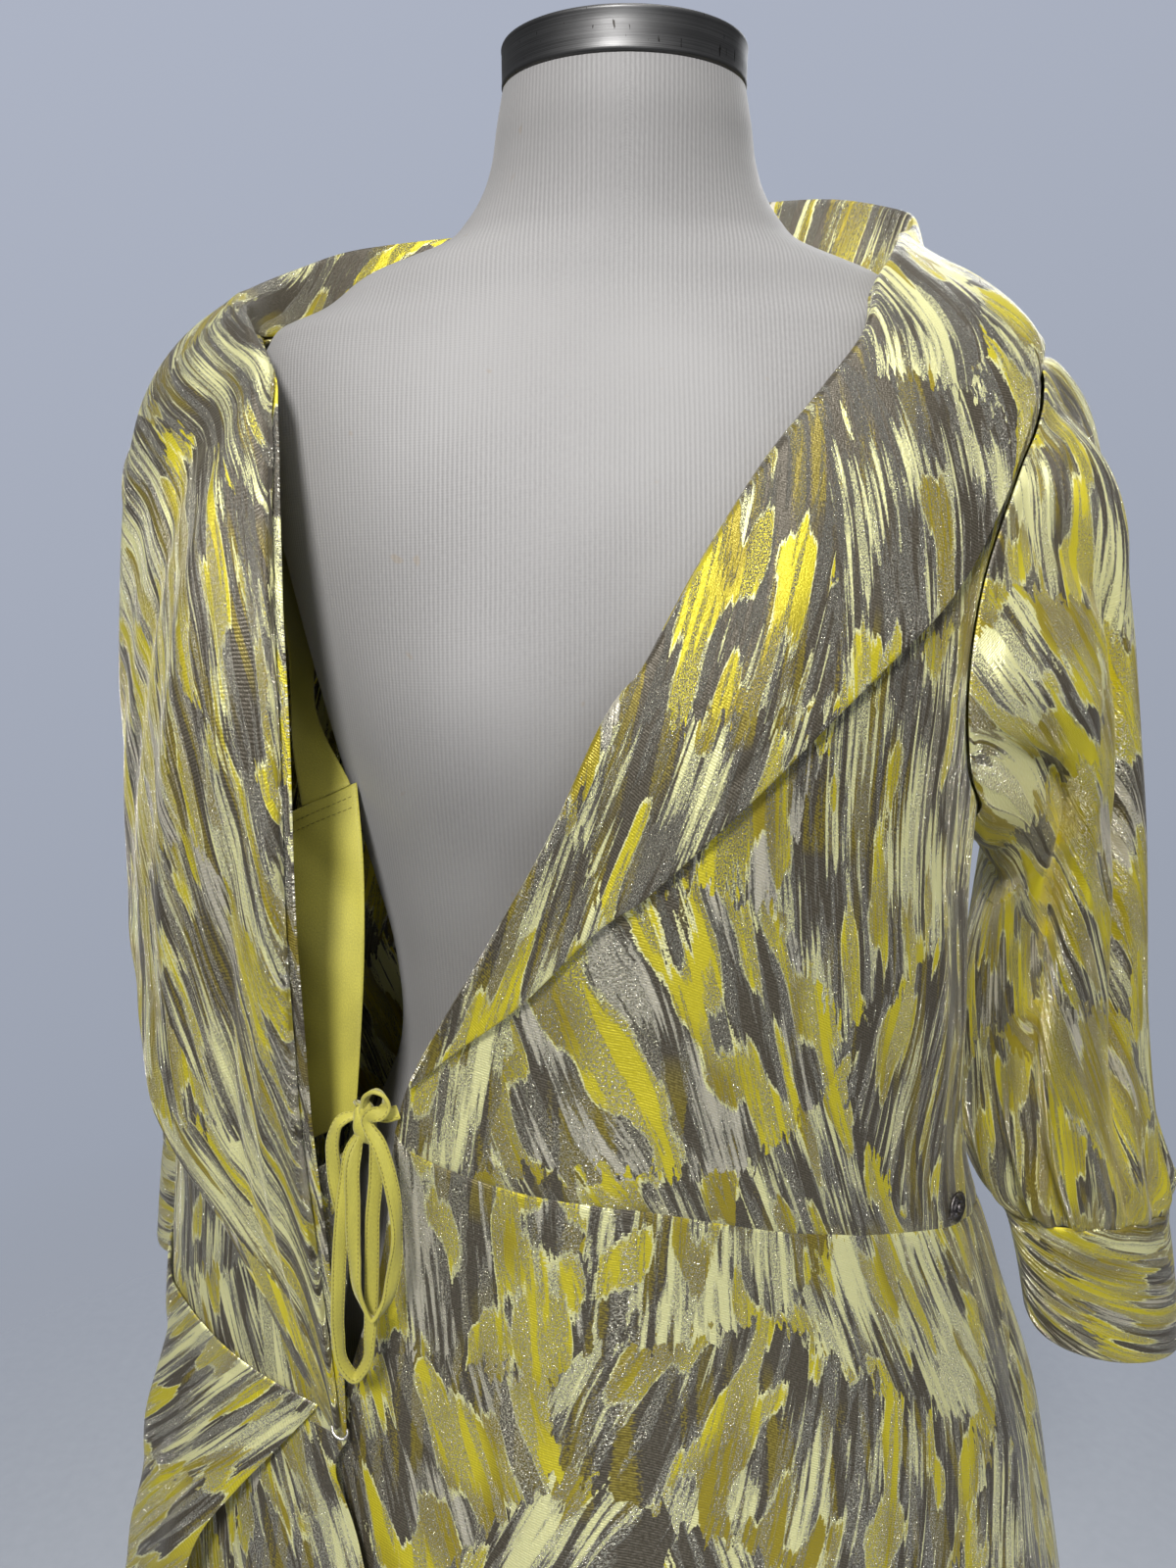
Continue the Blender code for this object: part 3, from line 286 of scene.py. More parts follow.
# The neck cap.
# A turned disc of steel, brushed round its rim, with both edges eased and polished by wear. It is pressed
# into the top of the form's neck.
STEEL_LIGHT = (0.155, 0.154, 0.154, 1.0)
STEEL_DARK = (0.090, 0.089, 0.089, 1.0)
STEEL_NICK = (0.030, 0.028, 0.026, 1.0)
STEEL_RELIEF = 0.00004
# Radius and height of each point of the cap's section
CAP_PROFILE = (
    (0.0530, 1.5064), (0.0546, 1.5064), (0.0556, 1.5068), (0.0560, 1.5076), (0.0560, 1.5084),
    (0.05585, 1.5090), (0.05585, 1.5120), (0.05585, 1.5180), (0.05585, 1.5218), (0.0560, 1.5223),
    (0.0560, 1.5229), (0.0557, 1.5236), (0.0549, 1.5240), (0.0535, 1.5240), (0.0520, 1.5238),
    (0.0510, 1.5234), (0.0200, 1.5234),
)


def turned_rings(profile, around):
    """Rings round the Z axis: x = r sin(angle), y = -r cos(angle), from pairs of radius and height."""
    profile = np.array(profile, float)[:, None, :]
    angle = ring_angles(around)
    rings = [profile[..., 0] * np.sin(angle), -profile[..., 0] * np.cos(angle), profile[..., 1] + 0 * angle]
    return np.stack(rings, -1)


def brushed_steel(name, light, dark, roughness):
    """Steel whose fine brush lines run round it: noise that is long around and short along the height."""
    made, tree, shader = new_material(name, roughness, Metallic=1.0)
    flat_place = new_node(tree, "UVMap", uv_map="flat").outputs[0]
    lines = noise(tree, stretched(tree, flat_place, (14, 2600, 1)), detail=3, roughness=0.7)
    smears = noise(tree, stretched(tree, flat_place, (30, 60, 1)), detail=3)
    nicks = noise(tree, stretched(tree, flat_place, (420, 90, 1)), detail=2, roughness=0.7)
    tone = blended(tree, spread(tree, lines, 0.30, 0.70), dark, light)
    tone = blended(tree, spread(tree, nicks, 0.725, 0.745), tone, STEEL_NICK)
    tree.links.new(tone, shader.inputs["Base Color"])
    dull = reckon(tree, "MULTIPLY_ADD", smears, 0.22, roughness - 0.10)
    tree.links.new(dull, shader.inputs["Roughness"])
    raised(tree, shader, lines, STEEL_RELIEF, 0.5)
    return made


steel = brushed_steel("brushed_steel", STEEL_LIGHT, STEEL_DARK, 0.46)
add_loft("form_neck_cap_band", turned_rings(CAP_PROFILE, 144), "steel", steel, "form_neck_cap")

# The stand.
# A steel tube from the base up into the torso, and a heavy round base plate with an eased rim and a collar
# that holds the tube. The picture ends above them, so both are the plain kind.
POLE_BOTTOM, POLE_TOP = 0.0124, 0.8196
POLE_PROFILE = (
    (0.0152, POLE_BOTTOM), (0.0160, POLE_BOTTOM + 0.0008), (0.0160, 0.4000), (0.0160, POLE_TOP - 0.0008),
    (0.0152, POLE_TOP),
)
BASE_PROFILE = (
    (0.1200, 0.0000), (0.1925, 0.0000), (0.1942, 0.0006), (0.1950, 0.0020), (0.1950, 0.0088),
    (0.1945, 0.0102), (0.1930, 0.0114), (0.1905, 0.0120), (0.0900, 0.0120), (0.0300, 0.0120),
)
COLLAR_PROFILE = (
    (0.0175, 0.0121), (0.0290, 0.0121), (0.0298, 0.0135), (0.0298, 0.0230), (0.0285, 0.0262),
    (0.0225, 0.0285), (0.0205, 0.0310), (0.0205, 0.0470), (0.0195, 0.0485), (0.0175, 0.0485),
)
add_loft("form_pole_tube", turned_rings(POLE_PROFILE, 64), "steel", steel, "form_pole")
add_loft("form_base_plate", turned_rings(BASE_PROFILE, 160), "steel", steel, "form_base")


def add_ring(name, rings, slot, material, *nodes):
    """Closed ring: the profile's last row meets its first."""
    rows, cols = rings.shape[:2]
    i, j = grid_squares(rows + 1, cols, True)
    flat = laid_flat(np.concatenate([rings, rings[:1]]), closed=True)
    faces = i % rows * cols + j % cols
    return add_piece(name, rings.reshape(-1, 3), faces, flat[i, j], slot, material, *nodes)


add_ring("form_base_collar", turned_rings(COLLAR_PROFILE, 72), "steel", steel)

# The gown's cloth.
# A mid-weight jacquard: a taupe ground with mustard, bright yellow and pale metallic floats in loose streaks,
# and fine metallic threads that glitter. Every panel below is cut from it, with its own grain and place.
CLOTH = 0.0015  # thickness of a wall of cloth
SEAM = 0.0004  # gap between two pieces that are sewn together
LAID_ON = 0.0012  # gap under a piece that lies loosely on another
TWILL_PITCH = 0.0013
PATCHES_A_METRE = 12.0
JACQUARD_RELIEF = 0.00050
TAUPE = (0.140, 0.121, 0.090, 1.0)
MUSTARD = (0.390, 0.310, 0.022, 1.0)
YELLOW = (0.730, 0.630, 0.030, 1.0)
CREAM = (0.920, 0.900, 0.480, 1.0)
SILVER = (0.640, 0.600, 0.500, 1.0)
LUREX = (1.000, 0.970, 0.800, 1.0)
WEAVE_SHADE = (0.520, 0.500, 0.430, 1.0)
WEAVE_LIGHT = (0.970, 0.960, 0.860, 1.0)


def streaky_jacquard(name, gold_level, pale_level):
    """Taupe ground with mustard lines. On it lie pale dry-brush streaks, which are fine noise long along
    the streak plus broad noise, above the pale level; and yellow patches with pale rims, which are broad
    noise above the gold level. Each Voronoi patch of cloth turns, shifts and shades its streaks in its own
    way. Metallic threads run along the edges of the streaks as small steep facets."""
    made, tree, shader = new_material(
        name, 0.42, Sheen_Weight=0.15, Sheen_Roughness=0.35, Specular_IOR_Level=0.65
    )
    flat_place = new_node(tree, "UVMap", uv_map="flat").outputs[0]

    def shifted(vector, by, size, offset):
        half = tuple(-s / 2 for s in size)
        made = new_node(tree, "VectorMath", {0: by, 1: size, 2: half}, operation="MULTIPLY_ADD").outputs[0]
        made = new_node(tree, "VectorMath", {0: made, 1: vector}, operation="ADD").outputs[0]
        return new_node(tree, "VectorMath", {0: made, 1: offset}, operation="ADD").outputs[0]

    def masked(*masks):
        product = masks[0]
        for mask in masks[1:]:
            product = reckon(tree, "MULTIPLY", product, mask)
        return product

    bend = noise(tree, flat_place, scale=6, detail=1, output="Color")
    bent = shifted(flat_place, bend, (0.0065, 0.012, 0), (3.1, 1.7, 0))
    fray = noise(tree, stretched(tree, flat_place, (420, 90, 1)), detail=2, output="Color")
    frayed = shifted(bent, fray, (0.005, 0.040, 0), (0, 0, 0))
    inputs = {"Vector": stretched(tree, frayed, (1.0, 0.70, 1)), "Scale": PATCHES_A_METRE, "Randomness": 1.0}
    patch = new_node(tree, "TexVoronoi", inputs, voronoi_dimensions="2D", feature="F1").outputs["Color"]
    draw = new_node(tree, "SeparateXYZ", {0: patch})
    lean = new_node(tree, "MapRange", {"Value": draw.outputs[0], "To Min": -0.26, "To Max": 0.22}).outputs[0]
    along = new_node(tree, "VectorRotate", {"Vector": bent, "Angle": lean}, rotation_type="Z_AXIS").outputs[0]
    inputs = {0: patch, 1: (7, 5, 0), 2: along}
    apart = new_node(tree, "VectorMath", inputs, operation="MULTIPLY_ADD").outputs[0]
    thread = noise(tree, stretched(tree, flat_place, (1500, 700, 1)), detail=1)
    bristle = noise(tree, stretched(tree, apart, (430, 13, 1)), detail=2, roughness=0.60)
    sweep = noise(tree, stretched(tree, shifted(apart, patch, (9, 4, 0), (0, 0, 0)), (52, 12, 1)), detail=1)
    pale = reckon(tree, "MULTIPLY_ADD", bristle, 0.95, sweep)
    pale = reckon(tree, "MULTIPLY_ADD", thread, 0.07, pale)
    pale = reckon(tree, "MULTIPLY_ADD", draw.outputs[1], 0.34, pale)
    broad = noise(tree, stretched(tree, apart, (74, 15, 1)), detail=1, roughness=0.4)
    gold = reckon(tree, "MULTIPLY_ADD", bristle, 0.17, broad)
    gold = reckon(tree, "MULTIPLY_ADD", thread, 0.04, gold)
    gold = reckon(tree, "MULTIPLY_ADD", draw.outputs[2], 0.20, gold)

    rods = noise(tree, stretched(tree, bent, (165, 6, 1)), detail=1)
    rods = spread(tree, reckon(tree, "MULTIPLY_ADD", thread, 0.16, rods), 0.60, 0.66)
    gathered = spread(tree, noise(tree, flat_place, scale=12, detail=1), 0.44, 0.54)
    is_pale = spread(tree, pale, pale_level, pale_level + 0.018)
    is_rim = spread(tree, gold, gold_level - 0.022, gold_level - 0.012)
    is_gold = spread(tree, gold, gold_level, gold_level + 0.012)
    ground = blended(tree, masked(rods, gathered, 0.75), TAUPE, MUSTARD)
    pale_tone = blended(tree, spread(tree, draw.outputs[2], 0.72, 0.74), CREAM, SILVER)
    gold_tone = blended(tree, spread(tree, sweep, 0.44, 0.64), YELLOW, MUSTARD)
    colour = blended(tree, is_pale, ground, pale_tone)
    colour = blended(tree, is_rim, colour, CREAM)
    colour = blended(tree, is_gold, colour, gold_tone)
    lit = reckon(tree, "MAXIMUM", is_pale, is_rim)

    parts = new_node(tree, "SeparateXYZ", {0: flat_place})
    diagonal = reckon(tree, "MULTIPLY_ADD", parts.outputs[0], 0.6, parts.outputs[1])
    twill = reckon(tree, "SINE", reckon(tree, "MULTIPLY", diagonal, 2 * math.pi / TWILL_PITCH))
    grain = reckon(tree, "MULTIPLY_ADD", twill, 0.20, thread)
    shade = blended(tree, lit, WEAVE_SHADE, WEAVE_LIGHT)
    colour = blended(tree, spread(tree, grain, 0.74, 0.34), colour, shade, "MULTIPLY")

    facet = noise(tree, stretched(tree, flat_place, (2000, 1100, 1)), detail=2, roughness=0.8)
    where = noise(tree, stretched(tree, apart, (230, 12, 1)), detail=2)
    nearly = spread(tree, pale, pale_level - 0.060, pale_level)
    edge = masked(nearly, spread(tree, pale, pale_level + 0.10, pale_level))
    lurex = reckon(tree, "MAXIMUM", edge, spread(tree, where, 0.49, 0.56))
    lurex = masked(lurex, spread(tree, facet, 0.48, 0.54))
    colour = blended(tree, masked(lurex, 0.90), colour, LUREX)
    tree.links.new(colour, shader.inputs["Base Color"])
    tree.links.new(reckon(tree, "MULTIPLY_ADD", lurex, 0.55, 0.40), shader.inputs["Metallic"])
    tree.links.new(reckon(tree, "MULTIPLY_ADD", lurex, -0.15, 0.34), shader.inputs["Roughness"])
    floats = reckon(tree, "MAXIMUM", lit, is_gold)
    height = reckon(tree, "MULTIPLY_ADD", floats, 0.5, reckon(tree, "MULTIPLY", grain, 0.6))
    glints = reckon(tree, "MULTIPLY_ADD", lurex, 5.0, 0.3)
    height = reckon(tree, "MULTIPLY_ADD", glints, facet, height)
    raised(tree, shader, height, JACQUARD_RELIEF, 0.85)
    return made


jacquard = streaky_jacquard("metallic_jacquard", 0.765, 1.245)
golden_jacquard = streaky_jacquard("metallic_jacquard_golden", 0.700, 1.235)

# The gown's body.
# Bodice and skirt share one smooth body, which stands off the form. The skirt's standing folds and the
# creases that the cloth's weight and the seams draw are soft ridges and troughs on it.
RING_POWER = 0.8
# A turn is in degrees round the form: 0 is the front, 90 the wearer's left and 180 the back
GOWN = table("z left_x right_x front_y back_y left_y right_y", (
    (0.035, 0.405, 0.405, -0.315, 0.335, 0.000, 0.000),
    (0.280, 0.356, 0.352, -0.268, 0.278, 0.004, 0.000),
    (0.500, 0.314, 0.308, -0.224, 0.222, 0.008, -0.004),
    (0.700, 0.269, 0.268, -0.180, 0.168, 0.010, -0.012),
    (0.850, 0.2345, 0.246, -0.148, 0.130, 0.008, -0.026),
    (0.930, 0.2060, 0.236, -0.138, 0.112, -0.006, -0.034),
    (1.000, 0.1785, 0.228, -0.136, 0.100, -0.032, -0.040),
    (1.080, 0.172, 0.222, -0.141, 0.096, -0.030, -0.042),
    (1.160, 0.168, 0.218, -0.145, 0.099, -0.024, -0.040),
    (1.240, 0.174, 0.214, -0.142, 0.104, -0.016, -0.030),
    (1.290, 0.184, 0.213, -0.131, 0.105, -0.009, -0.020),
    (1.340, 0.195, 0.212, -0.112, 0.103, -0.003, -0.010),
    (1.370, 0.198, 0.206, -0.096, 0.099, 0.000, -0.004),
    (1.388, 0.190, 0.192, -0.085, 0.095, 0.000, 0.000),
    (1.400, 0.172, 0.172, -0.077, 0.091, 0.000, 0.000),
    (1.415, 0.143, 0.143, -0.067, 0.084, 0.000, 0.000),
    (1.430, 0.117, 0.117, -0.062, 0.077, 0.000, 0.000),
    (1.450, 0.082, 0.082, -0.058, 0.070, 0.000, 0.000),
))
SKIRT_FOLDS = table("turn half_width depth start_z", (
    (12, 13, 0.022, 0.86),
    (44, 12, 0.036, 0.93),
    (74, 12, -0.022, 0.90),
    (108, 12, 0.045, 0.92),
    (140, 13, 0.034, 0.88),
    (170, 12, 0.042, 0.92),
    (200, 12, 0.036, 0.88),
    (232, 13, 0.045, 0.92),
    (262, 12, -0.020, 0.90),
    (292, 13, 0.038, 0.90),
    (324, 12, 0.032, 0.86),
    (344, 9, -0.016, 0.80),
))
HEM_Z = 0.035
CREASES = table("turn_a z_a turn_b z_b half_width height", (
    # bodice, left front: fullness over the bust, and soft pulls to the snap
    (52, 1.000, 34, 1.120, 0.011, -0.0016),
    (57, 1.005, 50, 1.190, 0.010, 0.0020),
    (66, 0.990, 62, 1.330, 0.009, 0.0026),
    (72, 0.985, 70, 1.300, 0.008, -0.0028),
    (40, 0.985, 12, 1.060, 0.012, 0.0012),
    (28, 1.000, 2, 1.075, 0.009, -0.0010),
    (-8, 1.030, 14, 1.110, 0.010, 0.0012),
    (48, 1.220, 30, 1.290, 0.014, 0.0014),
    # skirt, left front, below the waist seam
    (56, 0.975, 53, 0.740, 0.014, 0.0030),
    (44, 0.960, 40, 0.700, 0.011, -0.0024),
    (30, 0.970, 25, 0.760, 0.016, 0.0022),
    (14, 0.985, 8, 0.700, 0.013, -0.0022),
    (-4, 0.990, -10, 0.720, 0.014, 0.0024),
    (-16, 0.985, -20, 0.860, 0.009, -0.0016),
    (64, 0.960, 66, 0.780, 0.009, -0.0026),
    # bodice, right front
    (314, 1.330, 322, 1.060, 0.010, 0.0022),
    (304, 1.250, 312, 1.000, 0.012, -0.0020),
    (292, 1.200, 300, 0.980, 0.012, 0.0022),
    (283, 1.130, 288, 0.960, 0.010, -0.0020),
    # skirt, right front
    (330, 0.850, 336, 0.620, 0.013, -0.0030),
    (318, 0.860, 324, 0.560, 0.015, 0.0034),
    (304, 0.900, 306, 0.620, 0.013, -0.0030),
    (290, 0.930, 292, 0.640, 0.014, 0.0032),
    (278, 0.930, 277, 0.700, 0.011, -0.0026),
    # back bodice: it hangs from the shoulders and blouses softly over the waist
    (112, 0.985, 122, 1.180, 0.013, 0.0030),
    (126, 0.975, 134, 1.130, 0.011, -0.0026),
    (142, 0.970, 148, 1.200, 0.014, 0.0030),
    (160, 0.970, 164, 1.120, 0.012, -0.0024),
    (178, 0.965, 180, 1.210, 0.015, 0.0026),
    (198, 0.965, 194, 1.130, 0.012, -0.0024),
    (216, 0.965, 210, 1.190, 0.014, 0.0030),
    (234, 0.960, 226, 1.140, 0.011, -0.0026),
    (250, 0.965, 240, 1.180, 0.012, 0.0028),
    (118, 1.300, 140, 1.220, 0.013, -0.0016),
    (238, 1.290, 216, 1.215, 0.013, -0.0016),
    (150, 1.385, 208, 1.380, 0.012, -0.0012),
    # skirt, back
    (96, 0.950, 94, 0.700, 0.012, -0.0026),
    (120, 0.950, 124, 0.700, 0.013, 0.0030),
    (154, 0.950, 155, 0.690, 0.013, -0.0030),
    (186, 0.950, 185, 0.700, 0.013, -0.0030),
    (214, 0.945, 216, 0.700, 0.014, 0.0030),
    (248, 0.945, 247, 0.690, 0.013, -0.0030),
))
DEGREE = 0.0035  # metres along the cloth for each degree of turn
# Waves round the gown, radians for each metre up, phase and height of each sway
SWAYS = ((8, 11, 0.4, 0.0007), (-5, 31, 1.9, 0.0006), (12, -19, 3.3, 0.0004), (2, 52, 5.0, 0.0005))
SEAM_DIP = 0.0007
SEAM_DIP_WIDTH = 0.0045


def unit(vectors):
    """The vectors at length 1."""
    return vectors / np.linalg.norm(vectors, axis=-1, keepdims=True)


def angle_between(turn, other):
    """Difference of two directions in degrees, between -180 and 180."""
    return (turn - other + 180) % 360 - 180


def gown_ring(turn, z):
    """Point of the gown's smooth body: on each quarter a superellipse between two of the ring's extremes."""
    ring = {name: smooth_value(z, GOWN["z"], values) for name, values in GOWN.items() if name != "z"}
    angle = np.radians(turn)
    across, along = np.sin(angle), np.cos(angle)
    side_x = np.where(across >= 0, ring["left_x"], ring["right_x"])
    side_y = np.where(across >= 0, ring["left_y"], ring["right_y"])
    end_y = np.where(along >= 0, ring["front_y"], ring["back_y"])
    x = side_x * np.sign(across) * np.abs(across) ** RING_POWER
    y = side_y + (end_y - side_y) * np.abs(along) ** RING_POWER
    return np.stack([x, y, z + 0 * x], -1)


def crease_height(place_x, place_y, creases):
    """Sum of the creases: each is height * exp(-(distance / half width)^2) from its line between two ends,
    and fades in and out over that line as the square root of a half sine."""
    height = np.zeros(np.broadcast(place_x, place_y).shape)
    for start_x, start_y, end_x, end_y, half_width, depth in creases:
        run = np.array((end_x - start_x, end_y - start_y))
        length = np.hypot(*run)
        way = ((place_x - start_x) * run[0] + (place_y - start_y) * run[1]) / length**2
        aside = ((place_x - start_x) * run[1] - (place_y - start_y) * run[0]) / length
        fade = np.sqrt(np.sin(math.pi * np.clip((way + 0.08) / 1.16, 0, 1)))
        height = height + depth * np.exp(-((aside / half_width) ** 2)) * fade
    return height


def drape(turn, z):
    """How far the cloth stands out: a bell across each standing fold, which grows from its start to the
    hem, the creases, and a slight sway made of four sine waves."""
    height = np.zeros(np.broadcast(turn, z).shape)
    for middle, half_width, depth, start in zip(*SKIRT_FOLDS.values()):
        across = np.exp(-((angle_between(turn, middle) / half_width) ** 2))
        height = height + depth * across * smooth_step((start - z) / (start - HEM_Z))
    for turn_a, z_a, turn_b, z_b, half_width, depth in zip(*CREASES.values()):
        line = (0.0, z_a, angle_between(turn_b, turn_a) * DEGREE, z_b, half_width, depth)
        height = height + crease_height(angle_between(turn, turn_a) * DEGREE, z, [line])
    around = np.radians(turn)
    for waves, rises, phase, depth in SWAYS:
        height = height + depth * np.sin(waves * around + rises * z + phase)
    return height


def gown_point(turn, z, out=0.0):
    """Point of the gown's inner face moved out along its normal by the drape and a given distance."""
    turn, z = np.broadcast_arrays(np.asarray(turn, float), np.asarray(z, float))
    around = gown_ring(turn + 0.4, z) - gown_ring(turn - 0.4, z)
    upward = gown_ring(turn, z + 0.001) - gown_ring(turn, z - 0.001)
    normal = unit(np.cross(around, upward))
    return gown_ring(turn, z) + normal * (drape(turn, z) + out)[..., None]


def smooth_rows(columns, count):
    """Every column read at count places spread evenly over the table's rows, as columns of a grid."""
    rows = len(next(iter(columns.values())))
    at = np.linspace(0, rows - 1, count)
    knots = np.arange(rows, dtype=float)
    return {name: smooth_value(at, knots, values)[:, None] for name, values in columns.items()}


def drawn_in(grid):
    """The grid with its four edges moved in by half a seam."""
    grid = grid.copy()
    for edge, inside in ((0, 1), (-1, -2)):
        for view in (grid, grid.transpose(1, 0, 2)):
            step = view[inside] - view[edge]
            view[edge] += step * (SEAM / 2 / np.linalg.norm(step, axis=-1, keepdims=True))
    return grid


def sewn_dip(flat, edges):
    """How far a panel sinks into its seams: a bell from each named edge, by the length to it."""
    across, up = flat[..., 0], flat[..., 1]
    away = {
        "first_row": np.abs(up - up[:1]),
        "last_row": np.abs(up - up[-1:]),
        "first_col": np.abs(across - across[:, :1]),
        "last_col": np.abs(across - across[:, -1:]),
    }
    return SEAM_DIP * sum(np.exp(-((away[edge] / SEAM_DIP_WIDTH) ** 2)) for edge in edges)


def edge_loops(rows, cols, closed):
    """Row and column numbers of the points round the edge of a grid, as one loop or, on a tube, two."""
    if closed:
        around = np.arange(cols)
        return [(0 * around, around), (0 * around + rows - 1, around)]
    down, along = np.arange(rows - 1), np.arange(cols - 1)
    i = np.concatenate([0 * along, down, 0 * along + rows - 1, down[::-1] + 1])
    j = np.concatenate([along, 0 * down + cols - 1, along[::-1] + 1, 0 * down])
    return [(i, j)]


RIM_REACH = 0.42  # how far a rim stands beyond the edge, in thicknesses


def add_wall(name, inner, outer, flat, slot, material, *nodes, closed=False):
    """Cloth between two grids of points, with a rounded edge: a line of points a little beyond the edge joins
    the two faces. It is a sheet or, when closed, a tube that is open at both ends."""
    rows, cols = inner.shape[:2]
    far = rows * cols
    i, j = grid_squares(rows, cols, closed)
    face = i * cols + j % cols
    corner = flat[i, j]
    middle = (inner + outer) / 2
    beyond = np.zeros_like(middle)
    pairs = [(np.s_[0], np.s_[1]), (np.s_[-1], np.s_[-2])]
    if not closed:
        pairs += [(np.s_[:, 0], np.s_[:, 1]), (np.s_[:, -1], np.s_[:, -2])]
    for edge, inside in pairs:
        beyond[edge] += unit(middle[edge] - middle[inside])
    thick = np.linalg.norm(outer - inner, axis=-1, keepdims=True)
    points = [inner.reshape(-1, 3), outer.reshape(-1, 3)]
    faces, corners = [face[:, ::-1], face + far], [corner[:, ::-1], corner]
    start = 2 * far
    for i, j in edge_loops(rows, cols, closed):
        count = len(i)
        away = beyond[i, j] / np.maximum(np.linalg.norm(beyond[i, j], axis=-1, keepdims=True), 1e-9)
        points.append(middle[i, j] + away * thick[i, j] * RIM_REACH)
        here, after = np.arange(count), (np.arange(count) + 1) % count
        edge, rim = i * cols + j, start + np.arange(count)
        place = flat[i, j]
        next_place = flat[i, j + 1] if closed else place[after]
        lower = np.stack([edge[here], edge[after], rim[after], rim[here]], 1)
        upper = np.stack([rim[here], rim[after], edge[after] + far, edge[here] + far], 1)
        square = np.stack([place, next_place, next_place, place], 1)
        if closed and i[0] > 0:
            lower, upper, square = lower[:, ::-1], upper[:, ::-1], square[:, ::-1]
        faces += [lower, upper]
        corners += [square, square]
        start += count
    faces, corners = np.concatenate(faces), np.concatenate(corners)
    return add_piece(name, np.concatenate(points), faces, corners, slot, material, *nodes)

# The back bodice.
# One piece of the jacquard from side seam to side seam, up over the shoulder blades to the back neckline.
# It is sewn to the fronts at the sides and shoulders, to the skirt at the waist and to the sleeves at the
# armholes.
ARMHOLES = {
    "left": {"turn": 90.0, "front": 39.0, "back": 35.0, "low_z": 1.166, "high_z": 1.388},
    "right": {"turn": 270.0, "front": 8.0, "back": 45.0, "low_z": 1.160, "high_z": 1.370},
}
WAIST_Z = {"left": 0.9645, "right": 0.950}
NECK_Z = {"left": 1.428, "right": 1.400}
# The fronts' and the back's rows: 0 to 1 up the side seam, and 1 to 2 up the armhole
UP_SIDE = np.array((0.00, 0.24, 0.48, 0.74, 1.00, 1.28, 1.53, 1.73, 1.87, 1.95, 1.98, 2.00))
NECKLINE = table("turn z", (
    (90, 1.428), (106, 1.418), (127, 1.412), (152, 1.4215), (180, 1.428), (208, 1.421), (232, 1.412),
    (250, 1.4065), (270, 1.400),
))


def side_point(side, up_side, back=False):
    """Turn and height on the side seam (0 to 1), the armhole's half oval (to 2) and the shoulder (to 3)."""
    hole = ARMHOLES[side]
    seam_z = WAIST_Z[side] + (hole["low_z"] - WAIST_Z[side]) * up_side
    middle_z = (hole["low_z"] + hole["high_z"]) / 2
    half_z = (hole["high_z"] - hole["low_z"]) / 2
    angle = math.pi * (np.clip(up_side, 1, 2) - 1.5)
    to_front = 1 if side == "left" else -1
    sweep = hole["back"] if back else -hole["front"]
    turn = hole["turn"] + to_front * sweep * np.cos(angle)
    shoulder_z = hole["high_z"] + (NECK_Z[side] - hole["high_z"]) * (up_side - 2)
    z = np.where(up_side < 1, seam_z, np.where(up_side < 2, middle_z + half_z * np.sin(angle), shoulder_z))
    return turn, z


def cut_from(flat, grain, start):
    """The flat places turned by the grain's angle and moved to where the piece was cut from the cloth."""
    angle = math.radians(grain)
    across, up = flat[..., 0] + start[0], flat[..., 1] + start[1]
    return np.stack(
        [across * math.cos(angle) - up * math.sin(angle), across * math.sin(angle) + up * math.cos(angle)], -1
    )


GIRTH_RADIUS = 0.150  # metres of cloth for each radian round the form


def add_panel(name, turn, z, out, seams, grain, start, material=jacquard):
    """Panel of the gown's body between two offsets of it, which sinks into its sewn edges. It stands for the
    CAD node of its name."""
    flat = laid_flat(gown_point(turn, z, out))
    out = out - sewn_dip(flat, seams)
    inner = drawn_in(gown_point(turn, z, out))
    outer = drawn_in(gown_point(turn, z, out + CLOTH))
    plumb = np.stack(np.broadcast_arrays(np.radians(turn) * GIRTH_RADIUS, z), -1)
    flat = cut_from(plumb, grain, start)
    return add_wall(name + "_cloth", inner, outer, flat, "jacquard", material, name)


def back_places(rows, shoulder_rows, cols):
    """The fronts' rows from side to side, then rows up the shoulder seams to the neckline."""
    knots = np.arange(len(UP_SIDE), dtype=float)
    up_side = smooth_value(np.linspace(0, knots[-1], rows), knots, UP_SIDE)
    up_side = np.append(up_side, np.linspace(2, 3, shoulder_rows + 1)[1:])[:, None]
    left_turn, left_z = side_point("left", up_side, back=True)
    right_turn, right_z = side_point("right", up_side, back=True)
    u = np.linspace(0, 1, cols)[None, :]
    turn = left_turn + (right_turn - left_turn) * u
    neck_z = smooth_value(turn, NECKLINE["turn"], NECKLINE["z"])
    level_z = NECK_Z["left"] + (NECK_Z["right"] - NECK_Z["left"]) * (turn - 90) / 180
    return turn, left_z + (right_z - left_z) * u + (neck_z - level_z) * smooth_step((up_side - 1.4) / 1.6)


ALL_EDGES = ("first_row", "last_row", "first_col", "last_col")
back_bodice = add_panel("back_bodice", *back_places(84, 14, 120), 0.0, ALL_EDGES, 4, (0.4, 0.2))

